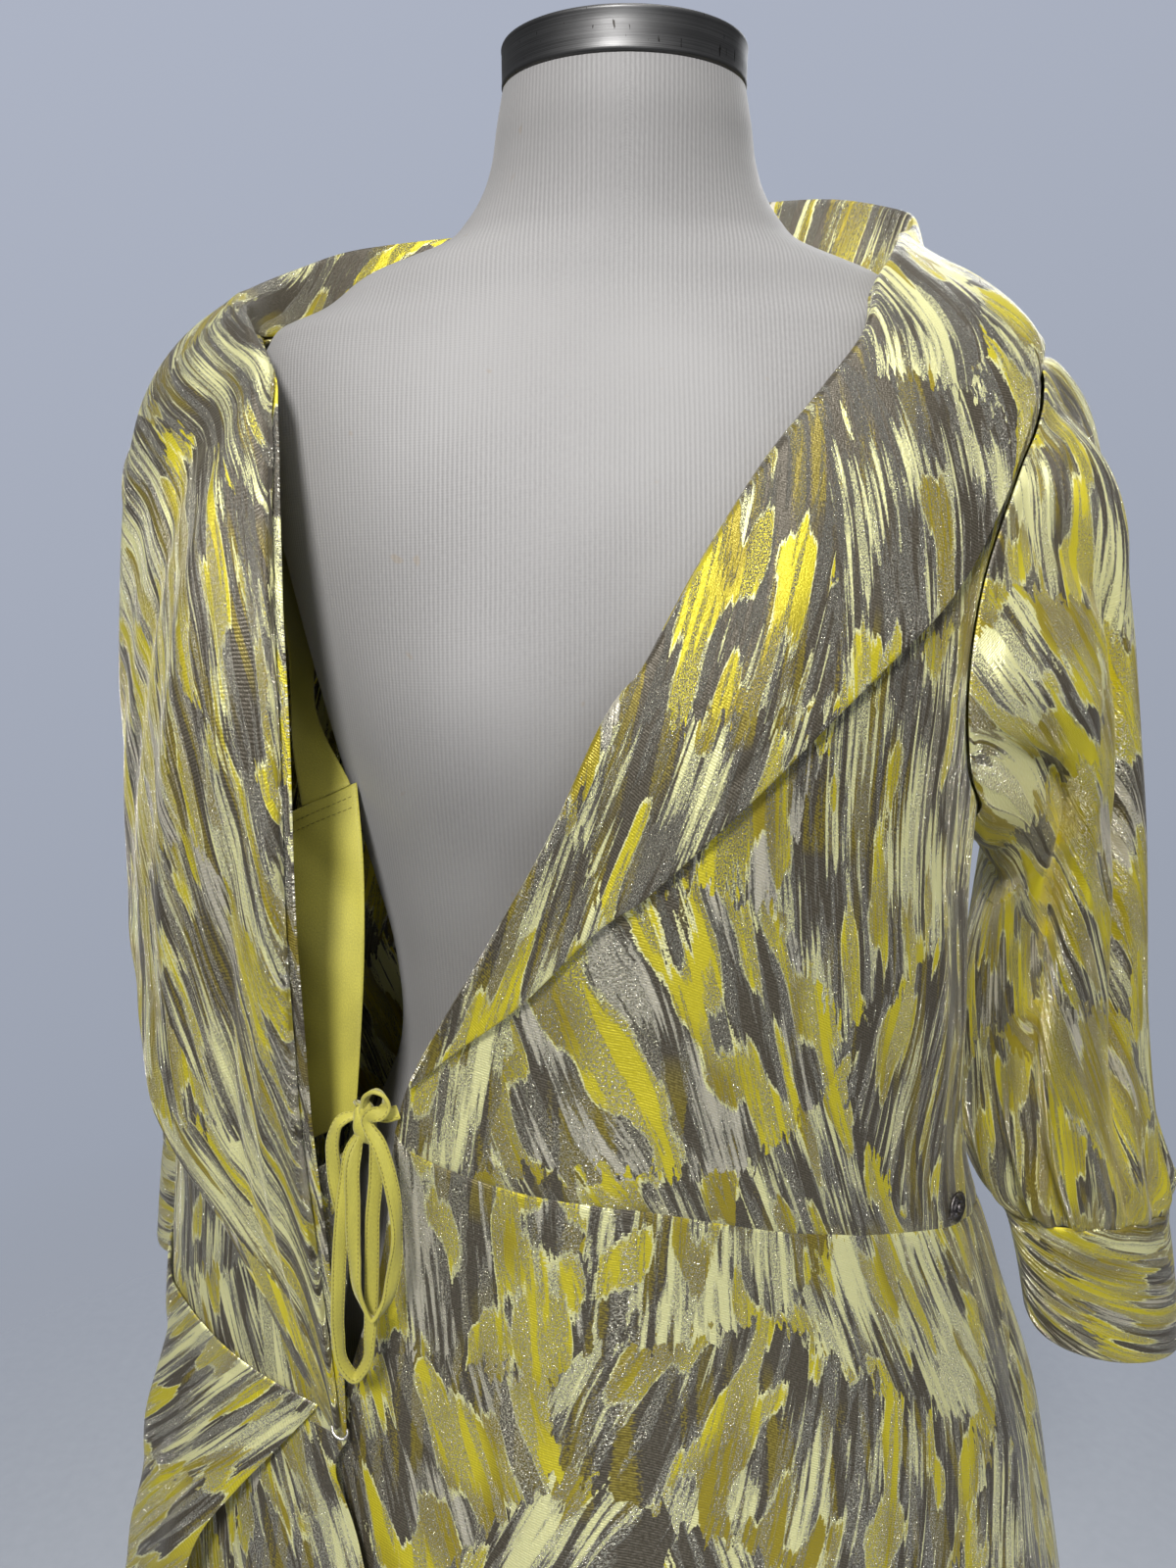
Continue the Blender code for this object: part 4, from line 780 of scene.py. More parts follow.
# The front bodice panels.
# The left one crosses the centre and ends in a point at the waist seam, under the collar; the right one hangs
# open along its roll line. Both are sewn along the shoulder, armhole, side and waist.
FRONT_LEFT = table("edge_turn edge_z sag", (
    (-21.9, 1.055, 0.018),
    (-19.5, 1.084, 0.012),
    (-11.5, 1.143, 0.004),
    (-5.3, 1.194, 0.000),
    (0.0, 1.255, 0.000),
    (5.0, 1.300, 0.000),
    (10.8, 1.336, 0.000),
    (17.5, 1.363, 0.000),
    (25.2, 1.388, 0.000),
    (39.5, 1.411, 0.000),
    (62.0, 1.424, 0.000),
    (90.0, 1.428, 0.000),
))
FRONT_RIGHT = table("edge_turn edge_z", (
    (332.0, 0.892),
    (331.0, 0.934),
    (328.4, 0.985),
    (326.6, 1.048),
    (325.5, 1.115),
    (324.5, 1.200),
    (323.6, 1.276),
    (322.0, 1.335),
    (317.5, 1.374),
    (305.0, 1.392),
    (288.0, 1.398),
    (270.0, 1.400),
))


def rows_to_edge(side_turn, side_z, row, cols):
    """Turns and heights of rows that run from a side to the front edge or neckline, and sag between them."""
    u = np.linspace(0, 1, cols)[None, :]
    sag = row.get("sag", 0.0) * np.sin(math.pi * np.sqrt(1 - u))
    return side_turn + (row["edge_turn"] - side_turn) * u, side_z + (row["edge_z"] - side_z) * u - sag


def front_places(side, rows_table, rows, cols):
    """A front's rows, which start on its side seam or armhole."""
    row = smooth_rows({"up_side": UP_SIDE, **rows_table}, rows)
    return rows_to_edge(*side_point(side, np.clip(row["up_side"], 0, 2)), row, cols)


WAIST_AND_SIDE = ("first_row", "first_col")
places = front_places("left", FRONT_LEFT, 150, 115)
front_left = add_panel("front_left_bodice", *places, 0.0, WAIST_AND_SIDE, 0, (0.0, 0.0))
places = front_places("right", FRONT_RIGHT, 165, 70)
front_right = add_panel("front_right_bodice", *places, 0.0, WAIST_AND_SIDE, -8, (1.3, 0.4))

# The skirt's front panels and back.
# Flared panels on the straight grain, sewn to the bodice in the curved waist seam and to each other down the
# sides. They fall in soft standing folds to a level hem; the picture ends above the knee.
DOWN_SIDE = np.array((0.000, 0.045, 0.100, 0.180, 0.370, 0.610, 0.820, 1.000))  # 0 waist, 1 hem
SKIRT_LEFT = table("edge_turn edge_z sag", (
    (-21.9, 1.055, 0.018),
    (-24.0, 0.985, 0.010),
    (-29.5, 0.905, 0.003),
    (-32.0, 0.830, 0.000),
    (-36.0, 0.640, 0.000),
    (-40.0, 0.410, 0.000),
    (-43.0, 0.205, 0.000),
    (-45.0, 0.035, 0.000),
))
SKIRT_RIGHT = table("edge_turn edge_z", (
    (332.0, 0.892),
    (330.5, 0.873),
    (334.5, 0.835),
    (340.0, 0.755),
    (344.0, 0.600),
    (347.0, 0.400),
    (349.0, 0.200),
    (350.0, 0.035),
))
SEAM_SWING = 26.0  # degrees by which the left side seam swings forward below the waist
TUCKED = 0.009  # how far the left front lies under the right one, from the centre on


def side_seam(side, down):
    """Turn and height on the skirt's side seam: 0 is the waist, 1 the hem. The left one swings forward."""
    z = WAIST_Z[side] + (HEM_Z - WAIST_Z[side]) * down
    if side == "right":
        return ARMHOLES[side]["turn"] + 0 * z, z
    return ARMHOLES[side]["turn"] - SEAM_SWING * smooth_step((WAIST_Z[side] - z) / 0.10), z


def skirt_front_places(side, rows_table, rows, cols):
    """A skirt front's rows, which start on its side seam."""
    row = smooth_rows({"down": DOWN_SIDE, **rows_table}, rows)
    return rows_to_edge(*side_seam(side, row["down"]), row, cols)


turn, z = skirt_front_places("left", SKIRT_LEFT, 140, 125)
under = TUCKED * smooth_step((-4 - angle_between(turn, 0)) / 9) * smooth_step((1.02 - z) / 0.12)
skirt_left = add_panel("skirt_front_left", turn, z, -under, WAIST_AND_SIDE, 2, (0.6, 2.2))
places = skirt_front_places("right", SKIRT_RIGHT, 140, 95)
skirt_right = add_panel("skirt_front_right", *places, 0.0, WAIST_AND_SIDE, -3, (2.1, 2.9))

down = smooth_rows({"down": DOWN_SIDE}, 84)["down"]
u = np.linspace(0, 1, 190)[None, :]
left_turn, left_z = side_seam("left", down)
right_turn, right_z = side_seam("right", down)
skirt_back = add_panel(
    "skirt_back", left_turn + (right_turn - left_turn) * u, left_z + (right_z - left_z) * u, 0.0,
    ("first_row", "first_col", "last_col"), 0, (4.0, 1.1),
)

# The draped corner.
# A shaped corner of the same cloth that falls from the right waist seam over the skirt's right front, turned
# back on itself along a soft ridge, with a free edge.
CASCADE = table("side_z edge_turn edge_z lift", (
    (0.958, 328.0, 0.909, 0.0000),
    (0.932, 325.0, 0.896, 0.0015),
    (0.895, 321.2, 0.880, 0.0040),
    (0.850, 317.0, 0.862, 0.0060),
    (0.800, 312.6, 0.838, 0.0080),
    (0.740, 309.5, 0.803, 0.0100),
    (0.680, 306.0, 0.745, 0.0110),
    (0.625, 298.0, 0.680, 0.0120),
    (0.585, 284.0, 0.620, 0.0120),
))
# Turn and height of both ends of each pull, its half width in degrees, and its height
CASCADE_CREASES = (
    (318.0, 0.895, 300.0, 0.760, 4.0, 0.0050),
    (309.0, 0.905, 290.0, 0.790, 3.5, 0.0040),
    (300.0, 0.925, 281.0, 0.820, 3.5, 0.0040),
    (305.0, 0.850, 288.0, 0.690, 3.0, -0.0030),
    (294.0, 0.930, 277.0, 0.880, 3.0, -0.0025),
)
DEGREES_A_METRE = 285
RIDGE_TURN, RIDGE_TOP_Z = 314, 0.90
RIDGE_SLANT = 120  # degrees for each metre down
RIDGE_HALF_WIDTH, RIDGE_HEIGHT = 8, 0.010
row = smooth_rows(CASCADE, 100)
u = np.linspace(0, 1, 80)[None, :]
turn = 270 + (row["edge_turn"] - 270) * u
z = row["side_z"] + (row["edge_z"] - row["side_z"]) * u
from_ridge = (turn - (RIDGE_TURN - RIDGE_SLANT * (RIDGE_TOP_Z - z))) / RIDGE_HALF_WIDTH
ridge = RIDGE_HEIGHT * np.exp(-(from_ridge**2)) * smooth_step((RIDGE_TOP_Z - z) / 0.08)
lines = [(a, DEGREES_A_METRE * b, c, DEGREES_A_METRE * d, w, h) for a, b, c, d, w, h in CASCADE_CREASES]
pulls = crease_height(turn, DEGREES_A_METRE * z, lines)
lift = CLOTH + LAID_ON + row["lift"] + ridge + pulls * smooth_step((0.945 - z) / 0.05)
cascade = add_panel("skirt_cascade_right", turn, z, lift, (), 38, (3.3, 0.2), golden_jacquard)

# The shawl collar.
# Two halves of doubled cloth, joined at the centre back. Each has a stand at the neck, rolls over and falls
# to a wide edge; the left one lies flat with its point at the waist seam, and the right one falls open to
# the hook.
COLLAR = "neck_turn neck_z lean rise edge_turn edge_z edge_out puff"
COLLAR_LEFT = table(COLLAR, (
    (180.0, 1.4280, 0.016, 0.048, 180.0, 1.350, 0.0045, 0.006),
    (160.0, 1.4250, 0.027, 0.062, 160.0, 1.352, 0.0045, 0.008),
    (140.0, 1.4165, 0.031, 0.074, 141.0, 1.356, 0.0045, 0.010),
    (124.0, 1.4120, 0.024, 0.066, 126.0, 1.366, 0.0045, 0.012),
    (106.0, 1.4170, 0.009, 0.042, 108.0, 1.382, 0.0050, 0.012),
    (90.0, 1.4245, 0.001, 0.020, 84.0, 1.391, 0.0060, 0.010),
    (66.0, 1.4245, 0.001, 0.008, 63.0, 1.383, 0.0060, 0.008),
    (42.0, 1.4130, 0.003, 0.004, 54.5, 1.363, 0.0050, 0.007),
    (26.0, 1.3900, 0.004, 0.002, 48.0, 1.325, 0.0045, 0.006),
    (15.0, 1.3560, 0.005, 0.000, 41.0, 1.292, 0.0045, 0.006),
    (7.0, 1.3130, 0.005, 0.000, 31.0, 1.266, 0.0045, 0.005),
    (0.0, 1.2550, 0.005, 0.000, 18.0, 1.231, 0.0045, 0.004),
    (-5.3, 1.1940, 0.005, 0.000, 3.0, 1.181, 0.0045, 0.003),
    (-11.5, 1.1430, 0.005, 0.000, -7.5, 1.125, 0.0045, 0.002),
    (-16.2, 1.1080, 0.004, 0.000, -14.8, 1.098, 0.0045, 0.001),
    (-19.3, 1.0850, 0.003, 0.000, -19.6, 1.080, 0.0045, 0.000),
))
COLLAR_RIGHT = table(COLLAR, (
    (180.0, 1.4280, 0.016, 0.048, 180.0, 1.350, 0.0045, 0.006),
    (208.0, 1.4210, 0.018, 0.047, 208.0, 1.352, 0.0045, 0.008),
    (232.0, 1.4120, 0.016, 0.046, 236.0, 1.368, 0.0060, 0.008),
    (250.0, 1.4065, 0.011, 0.035, 256.0, 1.374, 0.0110, 0.006),
    (268.0, 1.4000, 0.004, 0.024, 266.0, 1.345, 0.0270, 0.003),
    (288.0, 1.3980, 0.003, 0.012, 268.0, 1.300, 0.0240, 0.003),
    (304.0, 1.3920, 0.004, 0.005, 268.0, 1.262, 0.0220, 0.003),
    (315.8, 1.3790, 0.005, 0.002, 268.0, 1.235, 0.0200, 0.003),
    (320.0, 1.3550, 0.006, 0.000, 268.0, 1.210, 0.0190, 0.003),
    (321.8, 1.3200, 0.006, 0.000, 269.0, 1.185, 0.0180, 0.003),
    (322.8, 1.2600, 0.006, 0.000, 273.0, 1.152, 0.0160, 0.003),
    (323.5, 1.1900, 0.006, 0.000, 281.0, 1.115, 0.0140, 0.003),
    (324.1, 1.1200, 0.006, 0.000, 291.5, 1.078, 0.0125, 0.003),
    (325.0, 1.0550, 0.006, 0.000, 302.0, 1.034, 0.0120, 0.003),
    (326.2, 1.0080, 0.006, 0.000, 311.0, 0.998, 0.0090, 0.002),
    (327.8, 0.9700, 0.005, 0.000, 318.5, 0.966, 0.0070, 0.001),
    (329.8, 0.9320, 0.004, 0.000, 324.5, 0.932, 0.0055, 0.001),
    (331.2, 0.9010, 0.003, 0.000, 330.0, 0.901, 0.0045, 0.000),
))
STAND_POINTS = 3
FALL_POINTS = 8
EDGE_LIFT = 0.0044  # how far the free edge curls up
OUTWARD_SHARE = 0.7  # how much of a step away from the form counts as a step down the cloth
# Soft buckles of each collar, as row share, share of the way from neck to edge at both ends, width and height
LEFT_BUCKLES = (
    (0.30, 0.25, 0.42, 0.95, 0.034, 0.0030),
    (0.46, 0.30, 0.56, 0.95, 0.030, -0.0020),
    (0.60, 0.30, 0.74, 0.80, 0.036, 0.0022),
    (0.08, 0.45, 0.20, 0.95, 0.036, 0.0020),
)
RIGHT_BUCKLES = (
    (0.24, 0.40, 0.50, 0.95, 0.032, 0.0042),
    (0.34, 0.30, 0.62, 0.90, 0.026, -0.0036),
    (0.44, 0.30, 0.74, 0.85, 0.028, 0.0044),
    (0.56, 0.28, 0.84, 0.75, 0.024, -0.0032),
    (0.66, 0.30, 0.90, 0.62, 0.026, 0.0032),
    (0.10, 0.45, 0.20, 0.95, 0.032, 0.0026),
)


def grid_normals(grid, closed=False):
    """Unit normals of a grid of points, from the steps along its rows and columns."""
    down = np.gradient(grid, axis=0)
    if closed:
        across = np.roll(grid, -1, axis=1) - np.roll(grid, 1, axis=1)
    else:
        across = np.gradient(grid, axis=1)
    return unit(np.cross(down, across))


def collar_grid(rows_table, rows, cols):
    """Middle surface of a collar: up the stand, over the roll and down the fall. It is worked out on a few
    columns, whose corner at the roll is rounded by (1, 4, 1) / 6, and read as a smooth curve across them."""
    row = smooth_rows(rows_table, rows)
    seat = CLOTH + LAID_ON + CLOTH / 2
    neck = gown_point(row["neck_turn"], row["neck_z"], seat)
    outward = neck - gown_point(row["neck_turn"], row["neck_z"], seat - 0.01)
    outward[..., 2] = 0
    stand = unit(outward) * row["lean"][..., None]
    stand[..., 2] += row["rise"]
    up = np.linspace(0, 1, STAND_POINTS, endpoint=False)[None, :, None]
    v = np.linspace(0, 1, FALL_POINTS)[None, :]
    turn = row["neck_turn"] + (row["edge_turn"] - row["neck_turn"]) * v
    z = row["neck_z"] + (row["edge_z"] - row["neck_z"]) * v
    out = seat + row["puff"] * np.sin(math.pi * v) + (row["edge_out"] - seat) * v
    before_end = smooth_step(np.linspace(1, 0, rows)[:, None] / 0.25)
    out = out + EDGE_LIFT * smooth_step((v - 0.60) / 0.4) * before_end
    fall = gown_point(turn, z, out) + stand * ((1 - v) ** 4)[..., None]
    grid = np.concatenate([neck + stand * up, fall], axis=1)
    grid[:, 1:-1] = (grid[:, :-2] + 4 * grid[:, 1:-1] + grid[:, 2:]) / 6
    knots = np.arange(grid.shape[1], dtype=float)
    at = np.linspace(0, knots[-1], cols)
    fine = [smooth_value(at, knots, grid[i, :, axis]) for i in range(rows) for axis in range(3)]
    return np.array(fine).reshape(rows, 3, cols).transpose(0, 2, 1)


def add_collar(name, rows_table, rows, cols, buckles, grain, start, hangs):
    """One half of the collar, a wall about its middle surface, with its buckles. Its cloth is taken along the
    collar where it hangs, or else plumb: by the turn round the form, and by height less distance from it."""
    middle = collar_grid(rows_table, rows, cols)
    normal = grid_normals(middle)
    outside = middle[rows // 2, cols // 2] * (1, 1, 0)
    normal = normal * np.sign((normal[rows // 2, cols // 2] * outside).sum())
    share_down, share_out = np.meshgrid(np.linspace(0, 1, rows), np.linspace(0, 1, cols), indexing="ij")
    buckled = crease_height(share_down, share_out, buckles) * smooth_step(share_out / 0.35)
    middle = middle + normal * buckled[..., None]
    away = normal * CLOTH / 2
    to_side = np.sign(rows_table["neck_turn"][0] - rows_table["neck_turn"][-1])
    middle[0, :, 0] += SEAM / 2 * to_side
    away[0, :, 0] = 0
    flat = laid_flat(middle)
    if not hangs:
        turned = np.unwrap(np.arctan2(middle[..., 0], -middle[..., 1]), axis=0) * GIRTH_RADIUS
        away_from_axis = np.hypot(middle[..., 0], middle[..., 1])
        flat = np.stack([turned, middle[..., 2] - OUTWARD_SHARE * away_from_axis], -1)
    flat = cut_from(flat, grain, start)
    return add_wall(name + "_cloth", middle - away, middle + away, flat, "jacquard", jacquard, name)


collar_left = add_collar("collar_left", COLLAR_LEFT, 190, 64, LEFT_BUCKLES, 12, (1.3, 4.6), hangs=False)
collar_right = add_collar("collar_right", COLLAR_RIGHT, 200, 64, RIGHT_BUCKLES, 14, (2.0, 5.1), hangs=True)

# The sleeves.
# Full sleeves of the jacquard, pleated into a dropped armhole, falling in long soft troughs, and gathered
# into the cuff.
OVAL = "outer_x outer_z inner_x inner_z mid_y half_y"
SLEEVE_LEFT = table(OVAL, (
    (0.196, 1.3880, 0.168, 1.166, -0.015, 0.080),
    (0.2085, 1.3815, 0.175, 1.160, -0.014, 0.079),
    (0.2205, 1.3660, 0.183, 1.154, -0.012, 0.076),
    (0.2270, 1.3440, 0.191, 1.149, -0.010, 0.073),
    (0.2315, 1.3160, 0.198, 1.145, -0.008, 0.070),
    (0.2405, 1.2820, 0.202, 1.140, -0.006, 0.067),
    (0.2520, 1.2350, 0.198, 1.127, -0.004, 0.064),
    (0.2645, 1.1800, 0.195, 1.104, -0.002, 0.061),
    (0.2750, 1.1260, 0.193, 1.071, 0.000, 0.058),
    (0.2850, 1.0700, 0.194, 1.032, 0.002, 0.056),
    (0.2950, 1.0100, 0.200, 0.988, 0.002, 0.056),
    (0.3045, 0.9680, 0.211, 0.956, 0.000, 0.055),
    (0.310, 0.9440, 0.2230, 0.934, 0.000, 0.048),
))
SLEEVE_RIGHT = table(OVAL, (
    (-0.206, 1.3700, -0.218, 1.160, 0.000, 0.055),
    (-0.217, 1.3660, -0.222, 1.154, 0.004, 0.054),
    (-0.228, 1.3530, -0.2235, 1.146, 0.012, 0.053),
    (-0.234, 1.3320, -0.2225, 1.138, 0.022, 0.052),
    (-0.239, 1.3020, -0.2205, 1.128, 0.033, 0.052),
    (-0.245, 1.2640, -0.2180, 1.118, 0.044, 0.052),
    (-0.252, 1.2160, -0.2180, 1.104, 0.055, 0.052),
    (-0.260, 1.1620, -0.2190, 1.082, 0.065, 0.053),
    (-0.267, 1.1060, -0.2200, 1.052, 0.074, 0.053),
    (-0.274, 1.0500, -0.2200, 1.020, 0.082, 0.053),
    (-0.281, 0.9980, -0.2180, 0.980, 0.088, 0.053),
    (-0.288, 0.9580, -0.2140, 0.946, 0.093, 0.052),
    (-0.290, 0.9340, -0.2160, 0.926, 0.095, 0.046),
))
HEAD_PLEATS = 7
HEAD_PLEAT_DEPTH = 0.0065
CUFF_GATHERS = 16
CUFF_GATHER_DEPTH = 0.0046
FINE_GATHERS = 31
FINE_GATHER_DEPTH = 0.0012
FRONT_RAISED = 0.0085  # how much higher the sleeve ends in front
# Long troughs and ridges: angle round the sleeve (0 is its outer side and 90 its front) and share of the way
# down at both ends, half width in degrees, and height
LEFT_TROUGHS = (
    (118, 0.02, 126, 0.98, 7, -0.0150),
    (96, 0.06, 104, 0.95, 9, 0.0060),
    (64, 0.02, 72, 0.97, 6, -0.0135),
    (46, 0.10, 50, 0.86, 9, 0.0050),
    (24, 0.12, 22, 0.92, 6, -0.0080),
    (169, 0.20, 167, 1.00, 20, 0.0125),
    (-24, 0.12, -30, 0.90, 12, 0.0035),
    (-58, 0.14, -66, 0.92, 11, -0.0060),
    (-96, 0.20, -106, 0.88, 12, 0.0040),
    (-128, 0.24, -140, 0.94, 11, -0.0055),
    (96, 0.46, 60, 0.62, 7, -0.0030),
    (120, 0.56, 92, 0.70, 6, 0.0028),
)
RIGHT_TROUGHS = (
    (104, 0.18, 118, 0.92, 11, -0.0045),
    (60, 0.14, 72, 0.90, 10, -0.0055),
    (30, 0.16, 36, 0.84, 11, 0.0040),
    (-4, 0.12, -8, 0.90, 10, -0.0060),
    (-40, 0.14, -48, 0.88, 12, 0.0040),
    (-78, 0.16, -88, 0.92, 11, -0.0055),
    (-120, 0.24, -132, 0.90, 12, 0.0035),
    (-20, 0.50, -60, 0.64, 7, -0.0025),
)


def oval_rings(row, outward, forward, size=1.0):
    """Ovals of a table's rows. outward is 1 at their outer points and -1 at their inner ones, forward is 1 in
    front, and size scales them to the sides and to the front."""
    x = (row["outer_x"] + row["inner_x"]) / 2 + (row["outer_x"] - row["inner_x"]) / 2 * outward * size
    z = (row["outer_z"] + row["inner_z"]) / 2 + (row["outer_z"] - row["inner_z"]) / 2 * outward
    return np.stack([x, row["mid_y"] - row["half_y"] * forward * size, z], -1)


def sleeve_grid(rows_table, side, rows, around, troughs):
    """Outer face of a sleeve: ovals from the armhole to the cuff seam, moved out by the head's pleats and the
    gathers, which are cosines round it, and by the long troughs."""
    row = smooth_rows(rows_table, rows)
    angle = ring_angles(around)
    height, forward = np.cos(angle), np.sin(angle)
    hole = ARMHOLES[side]
    to_front = -1 if side == "left" else 1
    sweep = np.where(forward > 0, hole["front"], hole["back"])
    hole_turn = hole["turn"] + to_front * (sweep + 0.8) * forward
    hole_z = (hole["low_z"] + hole["high_z"]) / 2 + ((hole["high_z"] - hole["low_z"]) / 2 + 0.001) * height
    seat = gown_point(hole_turn, hole_z, 2 * CLOTH + 2 * SEAM)
    t = np.linspace(0, 1, rows)[:, None]
    rings = oval_rings(row, height, forward)
    rings = rings + (seat - rings[:1]) * (1 - smooth_step(t / 0.30))[..., None]
    rings[..., 2] += FRONT_RAISED * np.maximum(forward, 0) ** 2 * smooth_step((t - 0.75) / 0.25)

    to_axis = rings.mean(axis=1, keepdims=True) - rings
    outward = -unit(to_axis)
    head = HEAD_PLEAT_DEPTH * np.cos(HEAD_PLEATS * angle) * (0.55 + 0.45 * height)
    head = head * smooth_step(t / 0.08) * (1 - smooth_step((t - 0.12) / 0.4))
    uneven = 1 + 0.35 * np.sin(3 * angle + 0.7) + 0.25 * np.sin(5 * angle + 2.1)
    gathers = CUFF_GATHER_DEPTH * np.cos(CUFF_GATHERS * angle + 0.5 * np.sin(2 * angle + 1.0)) * uneven
    gathers = gathers * smooth_step((t - 0.72) / 0.2) * (1 - 0.6 * smooth_step((t - 0.94) / 0.06))
    fine = FINE_GATHER_DEPTH * np.cos(FINE_GATHERS * angle + 1.3 * np.sin(3 * angle))
    fine = fine * smooth_step((t - 0.84) / 0.1) * (1 - smooth_step((t - 0.975) / 0.025))
    degrees = np.degrees(angle)
    soft = np.zeros(rings.shape[:2])
    for start, top, end, bottom, half_width, depth in troughs:
        way = (t - top) / (bottom - top)
        aside = angle_between(degrees, start + (end - start) * way)
        fade = np.sin(math.pi * np.clip(way, 0, 1)) ** 0.6
        soft = soft + depth * np.exp(-((aside / half_width) ** 2)) * fade
    return rings + outward * (head + gathers + fine + soft)[..., None]


def add_tube(name, outer, grain, start, material, axis_low, axis_high):
    """Cloth tube with the given outer face, and its wall inside it. Its cloth is on the straight grain:
    places across it are turns about a leaning line from the first axis point to the second, so streaks hang
    plumb."""
    normal = grid_normals(outer, closed=True)
    to_axis = outer.mean(axis=1, keepdims=True) - outer
    inward = normal * np.sign((normal * to_axis).sum(-1, keepdims=True))
    flat = laid_flat(outer, closed=True)
    girth = np.ptp(flat[..., 0], axis=1).mean()
    axis_low, axis_high = np.array(axis_low), np.array(axis_high)
    way = (outer[..., 2:] - axis_low[2]) / (axis_high[2] - axis_low[2])
    aside = outer - (axis_low + (axis_high - axis_low) * way)
    turned = np.unwrap(np.unwrap(np.arctan2(-aside[..., 1], aside[..., 0]), axis=1), axis=0)
    around_it = np.sign(turned[:, -1:] - turned[:, :1]) * 2 * math.pi
    turned = np.concatenate([turned, turned[:, :1] + around_it], axis=1)
    flat[..., 0] = girth * turned / (2 * math.pi)
    flat = cut_from(flat, grain, start)
    inner = outer + inward * CLOTH
    return add_wall(name + "_cloth", inner, outer, flat, "jacquard", material, name, closed=True)


sleeve_left = add_tube(
    "sleeve_left", sleeve_grid(SLEEVE_LEFT, "left", 130, 200, LEFT_TROUGHS), 6, (1.6, 6.0),
    golden_jacquard, (0.262, 0.0, 0.94), (0.160, 0.0, 1.40),
)
sleeve_right = add_tube(
    "sleeve_right", sleeve_grid(SLEEVE_RIGHT, "right", 130, 182, RIGHT_TROUGHS), -5, (2.9, 6.4),
    golden_jacquard, (-0.250, 0.095, 0.94), (-0.180, 0.0, 1.40),
)

# The cuffs.
# Plain bands about 7 cm tall, doubled, that hold the sleeves' gathers in their top seam. They fall from it a
# little flared, and their lower edge turns in.
CUFF_RADIUS = 0.045
CUFF_ROLL = 0.0009  # swell under the top seam
CUFF_TURN_IN = 0.0008
CUFF_DENT = 0.0005
CUFF_WAVE = 0.0009
CUFF_LEFT = table(OVAL, (
    (0.310, 0.9440, 0.2230, 0.934, 0.000, 0.048),
    (0.321, 0.8970, 0.2355, 0.893, 0.000, 0.045),
    (0.330, 0.8540, 0.2460, 0.852, 0.000, 0.045),
))
CUFF_RIGHT = table(OVAL, (
    (-0.290, 0.9340, -0.216, 0.926, 0.095, 0.046),
    (-0.299, 0.8890, -0.225, 0.884, 0.099, 0.043),
    (-0.307, 0.8460, -0.233, 0.843, 0.103, 0.043),
))


def cuff_grid(rows_table, rows, around):
    """Outer face of a cuff: ovals, with a slight roll at the top seam, small dents under the gathers, and an
    edge that turns in at the bottom."""
    row = smooth_rows(rows_table, rows)
    angle = ring_angles(around)
    t = np.linspace(0, 1, rows)[:, None]
    roll = CUFF_ROLL * np.sin(math.pi * np.clip(t / 0.10, 0, 1))
    turned_in = CUFF_TURN_IN * smooth_step((t - 0.96) / 0.04)
    dents = CUFF_DENT * np.cos(CUFF_GATHERS * angle) * np.exp(-((t / 0.16) ** 2))
    wave = CUFF_WAVE * np.sin(3 * angle + 2.2 * t + 0.6) * smooth_step(t / 0.3)
    size = 1 + (roll - turned_in + dents + wave) / CUFF_RADIUS
    rings = oval_rings(row, np.cos(angle), np.sin(angle), size)
    rings[..., 2] += FRONT_RAISED * np.maximum(np.sin(angle), 0) ** 2
    rings[..., 2] -= 2 * SEAM
    return rings


cuff_left = add_tube(
    "cuff_left", cuff_grid(CUFF_LEFT, 44, 150), 78, (0.7, 7.7), jacquard,
    (0.288, 0.0, 0.85), (0.267, 0.0, 0.94),
)
cuff_right = add_tube(
    "cuff_right", cuff_grid(CUFF_RIGHT, 44, 150), 98, (1.9, 7.9), jacquard,
    (-0.270, 0.103, 0.85), (-0.253, 0.095, 0.93),
)

# The inner wrap panel, its strap and the facing.
# An underbodice of plain yellow crepe inside the right front, topstitched along its upper edge, with a narrow
# strap of the same crepe up to the shoulder, and a strip of the gown's own cloth as facing below it.
CREPE_DARK = (0.360, 0.325, 0.060, 1.0)
CREPE_LIGHT = (0.560, 0.510, 0.080, 1.0)
INNER_PANEL = table("side_turn side_z front_x front_y front_z bow", (
    (272.0, 0.974, -0.1265, -0.100, 1.043, 0.006),
    (272.0, 1.034, -0.1235, -0.095, 1.080, 0.009),
    (272.0, 1.094, -0.1215, -0.087, 1.120, 0.010),
    (272.0, 1.132, -0.1220, -0.076, 1.160, 0.008),
    (272.0, 1.154, -0.1260, -0.062, 1.196, 0.005),
))
INNER_STRAP = table("side_x side_y side_z front_x front_y front_z bow", (
    (-0.1520, -0.0605, 1.1854, -0.1290, -0.0625, 1.1960, 0.0008),
    (-0.1600, -0.0400, 1.2120, -0.1500, -0.0300, 1.2220, 0.000),
    (-0.1680, -0.0060, 1.2500, -0.1620, 0.0180, 1.2520, 0.000),
    (-0.1740, -0.0020, 1.2870, -0.1700, 0.0220, 1.2880, 0.000),
    (-0.1820, -0.0020, 1.3320, -0.1790, 0.0220, 1.3320, 0.000),
    (-0.1850, -0.0040, 1.3870, -0.1850, 0.0160, 1.3870, 0.000),
))
FACING_RIGHT = table("side_turn side_z front_x front_y front_z bow", (
    (325.0, 1.028, -0.1270, -0.1020, 1.0300, 0.003),
    (325.6, 0.995, -0.1290, -0.1050, 0.9950, 0.003),
    (326.8, 0.960, -0.1330, -0.1100, 0.9580, 0.002),
    (328.4, 0.930, -0.1365, -0.1150, 0.9280, 0.001),
))
